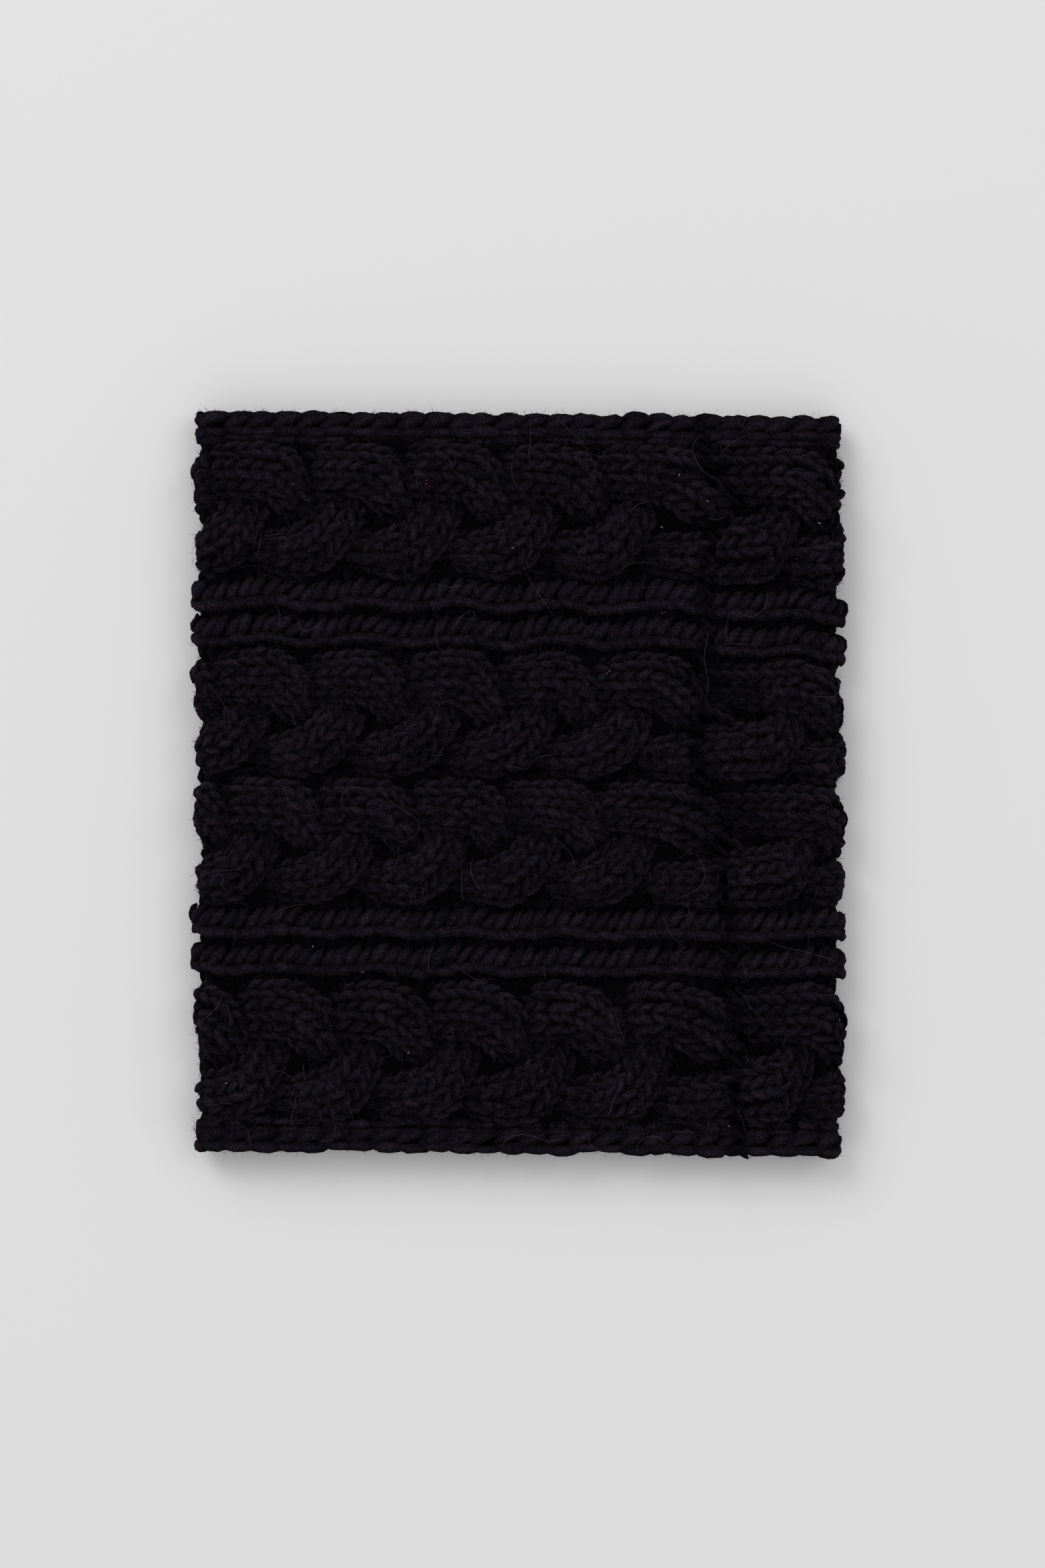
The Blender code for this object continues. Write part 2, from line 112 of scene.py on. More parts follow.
# Right of the seam a lobe lies level at first, and turns over these last phases and pitches to its tip.
LATE_TURN = {"phases": 0.8, "pitches": 0.35}
# A strand is three wales side by side. Going down it makes an upper lobe, and going up a lower one. Each
# row is a phase of its way, the wale's place down from the braid's middle in shares of the braid's
# width, and its level: 1 on top, and -1 under the other strands. It comes out from under the lobe
# before it at phase 1, and has passed under the next lobe at phase 3.
WALES_DOWN = [
    [
        (1.00, -0.413, -0.30), (1.10, -0.416, 0.15), (1.20, -0.420, 0.50), (1.50, -0.421, 0.65),
        (2.00, -0.418, 0.85), (2.30, -0.405, 0.90), (2.55, -0.372, 0.90), (2.75, -0.307, 0.85),
        (2.90, -0.226, 0.75), (2.98, -0.152, 0.60), (3.04, -0.064, 0.30), (3.08, 0.011, -0.20),
        (3.13, 0.079, -0.80), (3.20, 0.153, -1.00), (3.55, 0.227, -1.00), (3.62, 0.241, -0.50),
        (3.75, 0.237, -0.10), (4.00, 0.225, 0.30),
    ],
    [
        (1.00, -0.274, -0.30), (1.10, -0.275, 0.20), (1.20, -0.278, 0.55), (1.50, -0.278, 0.75),
        (2.00, -0.264, 1.00), (2.30, -0.219, 1.00), (2.50, -0.169, 0.95), (2.70, -0.108, 0.85),
        (2.85, -0.043, 0.60), (2.95, 0.018, 0.20), (3.03, 0.072, -0.40), (3.10, 0.126, -0.90),
        (3.20, 0.180, -1.00), (3.55, 0.302, -1.00), (3.62, 0.315, -0.50), (3.75, 0.324, 0.00),
        (4.00, 0.332, 0.40),
    ],
    [
        (1.00, -0.131, -0.20), (1.10, -0.131, 0.20), (1.20, -0.131, 0.55), (1.50, -0.129, 0.80),
        (1.80, -0.121, 0.90), (2.00, -0.107, 0.85), (2.20, -0.064, 0.85), (2.35, -0.010, 0.70),
        (2.50, 0.038, 0.35), (2.60, 0.074, -0.10), (2.70, 0.112, -0.70), (2.80, 0.153, -1.00),
        (3.20, 0.234, -1.00), (3.55, 0.370, -1.00), (3.62, 0.383, -0.60), (3.75, 0.405, -0.10),
        (4.00, 0.429, 0.25),
    ],
]
WALES_UP = [
    [
        (1.00, 0.225, 0.30), (1.30, 0.213, 0.50), (1.60, 0.191, 0.60), (2.00, 0.126, 0.75),
        (2.15, 0.074, 0.70), (2.25, 0.024, 0.65), (2.32, -0.030, 0.35), (2.36, -0.070, -0.30),
        (2.40, -0.104, -0.90), (2.50, -0.158, -1.00), (3.00, -0.294, -1.00), (3.80, -0.405, -1.00),
        (3.90, -0.409, -0.80), (4.00, -0.413, -0.30),
    ],
    [
        (1.00, 0.332, 0.40), (1.30, 0.329, 0.65), (1.60, 0.315, 0.85), (2.00, 0.272, 1.00),
        (2.20, 0.210, 1.00), (2.35, 0.137, 0.90), (2.45, 0.079, 0.70), (2.53, 0.018, 0.65),
        (2.58, -0.030, 0.30), (2.61, -0.064, -0.30), (2.66, -0.104, -0.90), (2.80, -0.158, -1.00),
        (3.80, -0.267, -1.00), (3.90, -0.270, -0.80), (4.00, -0.274, -0.30),
    ],
    [
        (1.00, 0.429, 0.25), (1.40, 0.444, 0.50), (1.70, 0.445, 0.60), (2.00, 0.435, 0.70),
        (2.30, 0.390, 0.85), (2.50, 0.315, 0.90), (2.65, 0.227, 0.90), (2.78, 0.112, 0.75),
        (2.83, 0.045, 0.65), (2.87, -0.016, 0.35), (2.89, -0.050, -0.20), (2.92, -0.084, -0.90),
        (3.00, -0.104, -1.00), (3.80, -0.125, -1.00), (3.90, -0.127, -0.75), (4.00, -0.131, -0.20),
    ],
]
WALE_SPACING_SHARE = 0.145  # between a strand's wales, as a share of its braid's width
WALE_CRESTS = (0.78, 1.0, 0.78)  # height of the three wales, which make the strand's section round
STRAND_EDGE = 0.55  # what is left of an outer wale's height at the strand's side
WAY_SOFTNESS = 0.05  # phases over which a corner of a way is rounded
# The ribs wave with the braids beside them: by how much, and how far down the strip.
RIB_WAVES = [
    {"braid": 0, "height": 1.3, "from": 40.0, "full": 67.0, "fading": 96.0, "to": 122.0},
    {"braid": 2, "height": 0.8, "from": 172.0, "full": 198.5, "fading": 228.0, "to": 258.0},
]
SAG_START = 178.0  # from the left fold
SAG_GROWTH = 1.4  # the sag grows with this power of the distance
# Places down the strip, and how far each has dropped at the right fold.
RIGHT_SAG = [(0.0, 0.0), (67.0, 3.8), (96.0, 4.6), (147.5, 1.5), (200.0, -0.8), (297.6, 0.0)]
# Places down the strip, and the seam's distance from the left fold there. It bends round the last lobe
# of each braid.
SEAM_WAY = [
    (0.0, 207.0), (12.0, 205.0), (21.0, 206.5), (31.0, 216.5), (41.0, 217.0), (49.0, 209.5),
    (66.0, 205.5), (76.0, 208.0), (95.0, 207.0), (106.0, 201.5), (122.0, 207.0), (132.0, 202.5),
    (148.0, 206.0), (157.0, 205.0), (168.0, 213.5), (186.0, 213.0), (202.0, 216.0), (232.0, 216.0),
    (250.0, 221.0), (266.0, 217.5), (297.6, 220.5),
]
SEAM_SINK = 0.35  # relief left at the seam, where the ends are drawn in, and share of light left there as painted shade
SEAM_SINK_REACH = 6.5

# The knitting.
ROW_PITCH = 4.97  # from one course to the next, along a rib
CABLE_PITCH = 5.5  # on a strand, which is stretched where it crosses
WALE_TILT = math.radians(38)  # how far a strand's outer wales lean outwards
SEAM_CLEAR = 1.0  # the first and last stitches stay this far from the seam's middle
UNDER_LIGHT = 0.06  # share of light that reaches a strand under the others
LIT_LEVEL = 0.9  # a strand at this level or higher is fully lit
CHANNEL_LIGHT = 0.27  # share that reaches the purl columns in the channels
EDGE_CHANNEL_LIGHT = 0.24  # and in the narrow ones beside the chained edges
HIDDEN_LEVEL = -0.88  # a strand's stitches below this level are covered by the one on top

# A stitch is made of legs of yarn. Each row is a leg: its radius, and four points of the cubic curve that
# is its centre line. A point is along in stitch pitches, across in wale widths towards the top edge, and
# out in millimetres.
CHAIN_LEGS = [
    (2.25, (-0.30, -0.22, -1.1), (0.25, -0.30, 0.4), (0.85, -0.30, 0.3), (1.25, -0.26, -1.4)),
    (2.55, (-0.25, -0.22, -1.7), (0.10, 0.04, 0.6), (0.65, 0.24, 0.5), (1.20, 0.22, -2.2)),
    (1.70, (-0.15, 0.22, -1.6), (0.20, 0.31, -0.4), (0.60, 0.31, -0.4), (1.00, 0.24, -1.8)),
]
STITCHES = {
    "cable": [
        (1.95, (-0.36, -0.10, -1.7), (0.10, -0.17, 0.6), (0.75, -0.36, 0.5), (1.26, -0.54, -1.9)),
        (1.88, (-0.32, 0.00, -1.7), (0.10, 0.13, 0.7), (0.70, 0.37, 0.6), (1.18, 0.60, -1.9)),
    ],
    "rib": [
        (2.20, (-0.45, -0.23, -1.4), (0.25, -0.31, 0.5), (0.95, -0.34, 0.3), (1.45, -0.32, -1.8)),
        (2.30, (-0.40, -0.24, -1.6), (0.00, 0.00, 0.7), (0.50, 0.22, 0.6), (0.95, 0.42, -1.8)),
    ],
    "top chain": [
        (1.80, (-0.35, -0.46, -1.4), (0.15, -0.50, -0.1), (0.75, -0.50, -0.1), (1.15, -0.46, -1.5)),
        *CHAIN_LEGS,
    ],
    "bottom chain": [
        (1.80, (-0.35, 0.46, -1.4), (0.15, 0.52, -0.1), (0.75, 0.52, -0.1), (1.15, 0.46, -1.5)),
        *CHAIN_LEGS,
    ],
    "purl": [
        (2.75, (-0.10, -0.55, -1.2), (0.05, -0.20, 0.1), (0.10, 0.20, 0.1), (0.20, 0.55, -1.2)),
    ],
}
RIB_WALE_WIDTH = 12.6
CHAIN_WALE_WIDTH = 12.4
PURL_WALE_WIDTH = 7.0
PURL_HEIGHT = 1.7
TRACK_STEP = 0.4  # between the places that a wale is worked out at
WALE_DEPTH = 2.0  # of a wale's centre below its relief
FRONT_LEG = {"sides": 7, "rings": 6}
BACK_LEG = {"sides": 5, "rings": 5}
FRONT_FACING = -0.75  # front legs are made where the fabric's outward direction rises more than this
FIRST_STITCH = 0.2  # the first stitch starts this many pitches along its wale
STITCH_MIDDLE = 0.45  # pitches from a stitch's start to its middle
LEG_ENDS = 0.03  # share of a leg's round end that is cut off
# How uneven the knitting is.
START_JITTER = 0.05  # of a stitch's start, in pitches
CURVE_JITTER = 0.07  # of a leg's curve, as a share of it
ACROSS_JITTER = 0.025  # of a leg's place across, in wale widths
OUT_JITTER = 0.3
RADIUS_JITTER = 0.10  # of a leg's radius, as a share of it
LUMPS = 0.09  # of the yarn's surface, as a share of its radius
FLATTENING = 0.64  # a leg's thickness, as a share of its width
GROUND_DEPTH = 3.6  # of the fabric's body below its relief, coloured nearly black as painted shade
GROUND_INSET = 2.2  # from the strip's top and bottom edges
GROUND_CLEAR = 0.4  # of the seam
GROUND_STEPS = (150, 110)  # round the tube, and down
FOLD_GROUND_RISE = 1.5  # it comes this much nearer to the yarn round a fold, where one looks along it
FELT_DEPTH = 1.9  # the felted backs of a strand's stitches lie this deep
FELT_LIGHT = 0.2
SIDE_LIGHT = 0.03  # share of light on the sides of the yarn
END_LIGHT = 0.04  # and where a leg of a stitch goes under the next one
SIDE_FALL, END_FALL = 1.6, 0.8  # how fast the light falls towards them
FELT_EDGE = 0.15  # what is left of the felt's height at a strand's side
FELT_STEPS = 260  # once round the tube
FELT_CLEAR = 2.0  # of the seam
# Each row of a strip of felt: the wale that it lies under, to which side, and its share of the height.
FELT_ROWS = ((0, -1.0, FELT_EDGE), (0, 0.0, 1.0), (1, 0.0, 1.0), (2, 0.0, 1.0), (2, 1.0, FELT_EDGE))
SETTLING_ROUNDS = 4  # of a place that depends on itself
FLOOR_PITCH = 5.0  # between the purl columns at the bottom of a braid's hollows
FLOOR_DROP = 0.8
FLOOR_LIGHT = 0.15
FLOOR_COVER = 1.6  # a strand that lies this much higher hides them
NAP_LENGTH = (1.0, 3.1)
NAP_SCATTER = (0.5, 0.5, 0.05)  # of its roots from the points of the yarn
NAP_LIFT = (0.05, 0.5)  # how steeply it rises from the yarn
NAP_FALL = 1.15  # how fast the light on the nap falls with the light on its yarn
NAP_FACING = 0.2  # the nap grows from where the stitches' normals rise at least this much
NAP_INSET = 3.0  # and keeps clear of the folds' outline by this
FIBRE_RADIUS = 0.09
MAP_ROOM = 900.0  # each leg has its own place, in a square of yarn this wide
FIBRE_LENGTH, FIBRE_WIDTH = 2.2, 0.3  # of the streaks that fibres make along the yarn
FIBRE_LEANS = (0.45, -0.75)  # how its two layers of fibres lean round the yarn
CURL = (2.6, 2.6)  # how far the fibres wander to and fro
CURL_SCALE = 0.45  # and how often, in a millimetre
PATCH_SIZE = (8.0, 4.5)  # of one colour's patches, along and round the yarn
SHADE_STOPS = (0.36, 0.52, 0.70)  # of its noise: where its slate, aubergine and plum are pure
NAP_GRAINS, DEEP_GRAINS = 1100.0, 600.0  # in a metre, of the nap and of the wool deep between stitches
STITCH_GRAINS = 0.02  # in a millimetre, so that each stitch has a tone of its own
STREAK_SHARE, FUZZ_SHARE = 1.4, 0.6  # of the fibres and of the nap in the yarn's grain
GRAIN_RANGE, GRAIN_TONE = (0.86, 1.36), (0.3, 2.28)
STITCH_RANGE, STITCH_TONE = (0.3, 0.7), (0.7, 1.3)
NAP_COUNT = 36500  # on each half of the garment

# The loose hairs that stand out most, each by its places from the left fold and down the front.
LONG_HAIRS = [
    [(147.2, 0.5), (147.6, 5.0), (151.5, 9.0), (155.5, 12.5), (158.5, 16.0), (161.5, 19.5), (165.5, 20.5)],
    [(162.0, 26.5), (164.0, 21.5), (168.0, 17.0)],
    [(136.8, 9.5), (137.0, 15.0), (136.2, 20.0), (137.5, 24.5)],
    [(137.0, 59.5), (135.0, 62.0), (136.5, 65.0), (140.0, 66.5), (143.0, 66.5)],
    [(134.5, 64.5), (136.5, 69.0), (140.0, 75.0), (144.0, 80.0), (146.5, 84.5)],
    [(105.5, 89.0), (108.0, 85.5), (111.5, 82.0), (114.0, 81.0), (115.5, 83.0), (114.0, 85.2), (110.5, 84.5)],
    [(100.0, 86.5), (99.2, 91.0), (100.0, 95.5), (102.5, 98.3), (107.0, 98.8)],
    [(98.0, 128.5), (100.0, 121.5), (101.0, 118.5), (104.0, 117.5)],
    [(127.0, 143.2), (131.5, 143.6), (135.5, 145.2), (137.5, 141.5), (141.0, 139.3), (145.5, 139.0)],
    [(129.5, 23.0), (129.5, 28.0), (131.5, 32.5), (134.0, 33.5)],
    [(172.0, 66.0), (176.0, 63.0), (181.0, 62.2), (186.0, 63.0)],
    [(176.5, 42.5), (179.5, 39.2), (184.0, 38.2)],
    [(100.0, 70.8), (104.5, 72.5), (110.0, 71.5)],
    [(30.0, 50.0), (29.6, 54.5), (28.6, 60.5)],
    [(31.5, 51.8), (35.5, 51.4), (39.0, 50.8)],
    [(36.0, 79.5), (37.5, 83.5), (37.0, 88.0)],
    [(44.5, 84.5), (45.5, 88.5), (47.5, 90.2), (52.0, 88.0), (56.0, 83.8)],
    [(41.5, 121.5), (43.0, 124.5), (43.8, 127.5), (41.5, 125.0)],
    [(10.5, 111.5), (13.5, 116.0), (15.5, 120.0), (17.5, 122.0)],
    [(7.5, 193.0), (8.5, 187.5), (12.0, 184.8), (17.5, 184.6), (22.5, 183.8)],
    [(12.0, 190.5), (12.2, 187.0), (14.0, 185.8), (15.5, 187.0), (14.4, 190.0), (16.0, 192.5)],
    [(36.5, 148.8), (39.5, 152.5), (41.0, 157.0), (44.0, 160.2), (47.5, 161.0)],
    [(79.0, 154.5), (83.0, 158.5), (88.5, 162.0), (92.5, 164.5), (93.4, 168.0), (90.5, 171.5), (85.5, 174.0)],
    [(84.5, 174.5), (84.6, 180.0), (83.2, 183.2), (80.0, 184.0)],
    [(62.5, 159.0), (62.0, 155.0), (65.0, 152.0), (71.0, 151.8)],
    [(15.0, 233.5), (12.8, 239.5), (9.5, 245.5), (5.5, 247.8)],
    [(16.5, 237.0), (17.5, 241.5), (18.2, 246.5)],
    [(23.6, 247.5), (24.0, 250.5), (23.0, 253.5)],
    [(32.0, 204.5), (36.5, 201.0), (42.0, 198.8), (48.0, 198.2)],
    [(35.5, 264.2), (39.5, 265.2), (43.2, 268.0)],
    [(46.6, 262.0), (47.2, 268.0)],
    [(44.2, 272.5), (43.4, 278.5), (41.8, 283.0), (42.6, 287.0)],
    [(57.5, 277.5), (58.8, 283.0), (59.6, 288.0), (58.6, 291.8), (54.5, 292.8), (50.5, 290.8)],
    [(24.5, 287.5), (25.2, 291.5), (25.8, 296.0)],
    [(64.5, 276.5), (66.0, 281.0), (66.2, 286.0)],
    [(114.0, 180.0), (113.0, 184.0), (114.2, 188.5), (117.5, 192.5)],
    [(109.8, 184.0), (109.6, 192.0), (110.5, 196.5)],
    [(145.0, 171.0), (149.0, 173.5), (153.5, 178.5), (154.8, 184.0)],
    [(160.5, 178.8), (158.9, 182.0), (160.0, 186.0)],
    [(138.6, 207.5), (138.8, 210.5), (139.8, 213.0)],
    [(105.5, 221.2), (108.5, 223.5), (112.0, 226.5), (116.5, 228.6), (121.5, 227.8)],
    [(142.3, 223.0), (142.6, 225.5), (142.8, 228.0)],
    [(98.4, 214.5), (96.6, 219.5), (96.2, 225.5)],
    [(182.0, 228.5), (178.8, 231.5), (179.4, 234.8), (182.5, 234.6), (183.5, 231.5), (182.2, 228.0)],
    [(170.0, 240.0), (172.0, 246.0), (174.2, 252.0), (175.5, 257.0)],
    [(168.0, 282.5), (169.5, 276.5), (172.5, 270.0)],
    [(125.0, 295.0), (128.0, 291.0), (133.0, 289.5), (139.0, 290.5), (144.0, 293.0), (148.5, 291.5)],
    [(160.0, 289.0), (160.8, 294.0), (165.0, 296.5)],
    [(179.0, 296.5), (179.8, 293.0), (184.0, 290.2), (188.0, 290.6), (191.5, 293.5)],
    [(205.0, 11.5), (202.5, 13.5), (201.2, 17.0), (202.5, 21.5), (205.0, 25.5), (207.5, 28.0), (211.0, 28.5)],
    [(211.0, 29.0), (213.0, 32.0), (214.2, 34.5)],
    [(213.5, 18.0), (217.0, 14.8), (221.5, 12.0)],
    [(219.5, 5.5), (221.0, 9.0), (222.5, 5.5)],
    [(231.0, 73.5), (231.4, 78.0), (229.5, 81.5), (225.5, 84.2), (220.5, 83.0), (217.0, 81.8)],
    [(216.0, 82.0), (214.8, 88.0), (214.4, 92.0), (217.0, 95.2), (222.0, 94.6), (226.0, 95.5)],
    [(207.8, 89.5), (206.8, 95.0), (206.0, 101.0), (207.2, 106.5), (208.0, 110.5), (207.0, 115.5)],
    [(233.5, 111.5), (234.0, 114.0), (232.0, 116.4), (229.8, 115.0)],
    [(254.0, 104.5), (256.5, 108.0), (256.8, 112.0), (254.0, 116.0), (248.5, 115.5)],
    [(206.5, 44.5), (210.0, 45.5), (215.5, 44.0)],
    [(203.0, 178.5), (205.5, 182.0), (206.4, 187.0), (204.5, 191.5), (200.0, 193.8), (194.0, 196.8)],
    [(204.5, 192.0), (207.0, 193.0), (207.4, 195.5), (205.0, 195.5)],
    [(200.5, 196.0), (199.2, 198.5), (200.5, 201.5), (198.0, 203.0), (193.0, 204.2)],
    [(189.8, 203.0), (190.8, 206.5), (192.4, 209.5), (194.5, 212.8), (198.5, 213.0)],
    [(211.5, 186.0), (211.6, 190.0)],
    [(232.0, 213.0), (238.0, 215.5), (246.0, 217.0), (252.0, 218.6), (257.5, 222.5)],
    [(243.0, 219.5), (245.5, 221.5), (243.5, 223.5), (242.0, 225.0)],
    [(218.5, 231.5), (222.5, 235.5), (224.5, 239.5), (229.5, 244.0)],
    [(220.5, 229.5), (224.0, 228.5)],
    [(238.3, 251.0), (237.4, 255.0)],
    [(222.5, 257.5), (223.6, 261.0)],
    [(219.5, 280.0), (221.5, 285.0), (222.8, 289.5)],
    [(227.0, 288.5), (229.0, 291.5), (230.5, 293.0)],
    [(193.0, 151.5), (194.5, 154.5), (197.5, 157.0)],
    [(246.0, 136.0), (250.0, 136.6), (254.0, 136.4)],
    [(243.0, 172.0), (246.5, 171.5), (249.0, 169.5)],
    [(201.5, 166.5), (203.5, 168.5)],
]
# Small lumps of dyed wool and pale lint, by the same places.
DYED_NEPS = [(189.4, 82.4), (190.4, 82.0), (95.8, 30.0), (95.5, 31.2), (167.3, 106.4), (168.3, 105.6)]
PALE_LINT = [
    (251.5, 46.8), (215.9, 286.4), (189.2, 48.3), (70.3, 225.1), (196.0, 27.9), (88.5, 257.2), (260.2, 202.2),
    (130.0, 56.8), (50.5, 215.0), (207.2, 38.3), (16.3, 269.1),
]
LONG_HAIR = {"radius": 0.07, "sides": 3, "rings": 22}
STRAY_HAIR = {"radius": 0.055, "sides": 3, "rings": 6}
LONG_HAIR_LIGHT, STRAY_LIGHT = (0.7, 1.1), (0.2, 0.7)
ROUNDING_PASSES = 3  # over a long hair's corners
STRAY_HAIRS, STRAY_LENGTH, STRAY_BEND = 320, (3.0, 11.0), 0.4
THREAD_END, THREAD_TAPER = 0.06, 0.4  # share of its round end that is cut off, and how blunt it is
LUMP = {"radius": 0.2, "sides": 5, "rings": 4}  # of a nep or a bit of lint
LUMP_LENGTH = 0.9
HAIR_LIFT = 0.9  # of a hair over the yarn that it lies on
SEAM_YARN = {"radius": 1.25, "sides": 6, "rings": 6}
SEAM_STITCH, SEAM_REACH, SEAM_SLANT = 7.0, 3.4, 2.4  # between its stitches, to each side, and down
SEAM_JITTER, SEAM_DEPTH = 0.6, 1.0
SEAM_LIGHT = 0.3

rng = np.random.default_rng(53)


def placed(name, data):
    """A new object in the scene, from its mesh, camera or light."""
    obj = bpy.data.objects.new(name, data)
    bpy.context.scene.collection.objects.link(obj)
    return obj


def smooth_step(t):
    t = np.clip(t, 0.0, 1.0)
    return t * t * (3.0 - 2.0 * t)


def laid_out_stripes():
    top = 0.0
    stripes = []
    for stripe in STRIPES:
        stripes.append({**stripe, "top": top, "middle": top + stripe["width"] / 2})
        top += stripe["width"]
    return stripes


STRIPE_PLACES = laid_out_stripes()
BRAIDS = [stripe for stripe in STRIPE_PLACES if stripe["kind"] == "braid"]


def seam_place(down):
    """Distance of the seam from the left fold, at a distance down from the top edge."""
    return np.interp(down, *zip(*SEAM_WAY))


def braid_phase(braid, along):
    """Counts a braid's tips from the seam's right side all the way round to its left side.

    Tips on the right of the seam come first, then an even pattern round the back, then those left of
    the seam, which are once round the tube further along.
    """
    pitch = braid["pitch"]
    right_lower = [braid["right_lower_tip"] + pitch * k for k in (-SEAM_LOBE_STRETCH, 0, 1)]
    right_upper = [braid["right_upper_tip"] + pitch * k for k in (-SEAM_LOBE_STRETCH, 0, 1)]
    left_lower = [braid["lower_tip"] + ROUND_LENGTH + pitch * k for k in range(-1, TIPS_ON_LEFT)]
    left_upper = [braid["upper_tip"] + ROUND_LENGTH + pitch * k for k in range(-1, TIPS_ON_LEFT - 1)]
    left_lower.append(left_lower[-1] + SEAM_LOBE_STRETCH * pitch)
    left_upper += [braid["seam_upper_tip"] + ROUND_LENGTH, left_lower[-1] + pitch / 2]
    right = [tip for pair in zip(right_lower, right_upper) for tip in pair]
    left = [tip for pair in zip(left_lower, left_upper) for tip in pair]
    gap_phases = STRAND_PHASES * (left[0] - right[-1]) / pitch
    behind = len(right) - 1 + gap_phases
    first_right = FIRST_LEFT_PHASE - ALL_PHASES * round(behind / ALL_PHASES)
    phases = list(first_right + np.arange(len(right))) + list(FIRST_LEFT_PHASE + np.arange(len(left)))
    lobe = right.index(braid["right_lower_tip"])
    right.insert(lobe, braid["right_lower_tip"] - LATE_TURN["pitches"] * pitch)
    phases.insert(lobe, phases[lobe] - LATE_TURN["phases"])
    return np.interp(along, right + left, phases)


def on_way(rows, column, way):
    """A wale's value at a phase of its way, with the corners rounded."""
    phases = [row[0] for row in rows]
    values = [row[column] for row in rows]
    shifts = (-WAY_SOFTNESS, 0.0, WAY_SOFTNESS)
    return sum(np.interp(way + shift, phases, values) for shift in shifts) / len(shifts)


def strand_wales(braid, along, strand):
    """A strand's three wales, from the top: how far down from the top edge, and their level."""
    turn = (braid_phase(braid, along) - STRAND_PHASES * (strand + 1)) % ALL_PHASES
    going_down = turn >= ALL_PHASES / 2
    way = 1.0 + turn % (ALL_PHASES / 2)
    wales = []
    for down_rows, up_rows in zip(WALES_DOWN, WALES_UP):
        values = []
        for column in (1, 2):
            falling = on_way(down_rows, column, way)
            rising = on_way(up_rows, column, way)
            values.append(np.where(going_down, falling, rising))
        wales.append((braid["middle"] + braid["width"] * values[0], values[1]))
    return wales


def strand_height(braid, along, down, strand):
    """Height of one strand's section at places along and down, and nothing beside it."""
    wales = strand_wales(braid, along, strand)
    side = WALE_SPACING_SHARE * braid["width"] / 2
    places = [wales[0][0] - side] + [place for place, _ in wales] + [wales[2][0] + side]
    crests = [crest * (STRAND_RISE + STRAND_SWING * level) for crest, (_, level) in zip(WALE_CRESTS, wales)]
    heights = [STRAND_EDGE * crests[0]] + crests + [STRAND_EDGE * crests[2]]
    total = np.zeros_like(down)
    for k in range(4):
        share = (down - places[k]) / np.maximum(places[k + 1] - places[k], 0.01)
        inside = (share >= 0.0) & (share < 1.0)
        total = np.where(inside, heights[k] + (heights[k + 1] - heights[k]) * share, total)
    return total


def braid_fold_share(along):
    """The share of a braid's relief that stands on the nearest fold."""
    from_left_fold = np.abs(along - ROUND_LENGTH)
    return np.where(from_left_fold < LEFT_FOLD_REACH, LEFT_BRAID_SHARE, FOLD_BRAID_SHARE)


def relief(along, down):
    """Height of the knitting over its ground, and the share of it that stands on a fold."""
    height = np.zeros_like(down)
    fold_share = np.ones_like(down)
    for stripe in STRIPE_PLACES:
        off = (down - stripe["middle"]) / (STRIPE_FILL * stripe["width"])
        section = np.sqrt(np.clip(1.0 - off * off, 0.0, 1.0))
        if stripe["kind"] != "braid":
            rise = RIB_RISE if stripe["kind"] == "rib" else CHAIN_RISE
            height = np.maximum(height, rise * section)
            stretched = FOLD_RIB_SHARE if stripe["kind"] == "rib" else FOLD_CHAIN_SHARE
            fold_share = np.where(np.abs(off) < 1.0, stretched, fold_share)
            continue
        raised = BRAID_FLOOR_RISE * section
        for strand in range(3):
            raised = np.maximum(raised, strand_height(stripe, along, down, strand))
        inside = (down > stripe["top"]) & (down < stripe["top"] + stripe["width"])
        height = np.where(inside, np.maximum(height, raised), height)
        fold_share = np.where(inside, braid_fold_share(along), fold_share)
    return height, fold_share


def settled(along, down, x):
    """Where each place down the strip comes to lie, with the ribs' waves and the sag on the right."""
    place = down
    for wave in RIB_WAVES:
        phase = braid_phase(BRAIDS[wave["braid"]], along)
        stops = [wave["from"], wave["full"], wave["fading"], wave["to"]]
        share = np.interp(down, stops, [0.0, 1.0, 1.0, 0.0])
        place = place - wave["height"] * share * np.cos(math.pi * phase)
    towards_fold = np.clip((x + FLAT_WIDTH / 2 - SAG_START) / (FLAT_WIDTH - SAG_START), 0.0, 1.0)
    return place + np.interp(down, *zip(*RIGHT_SAG)) * towards_fold**SAG_GROWTH


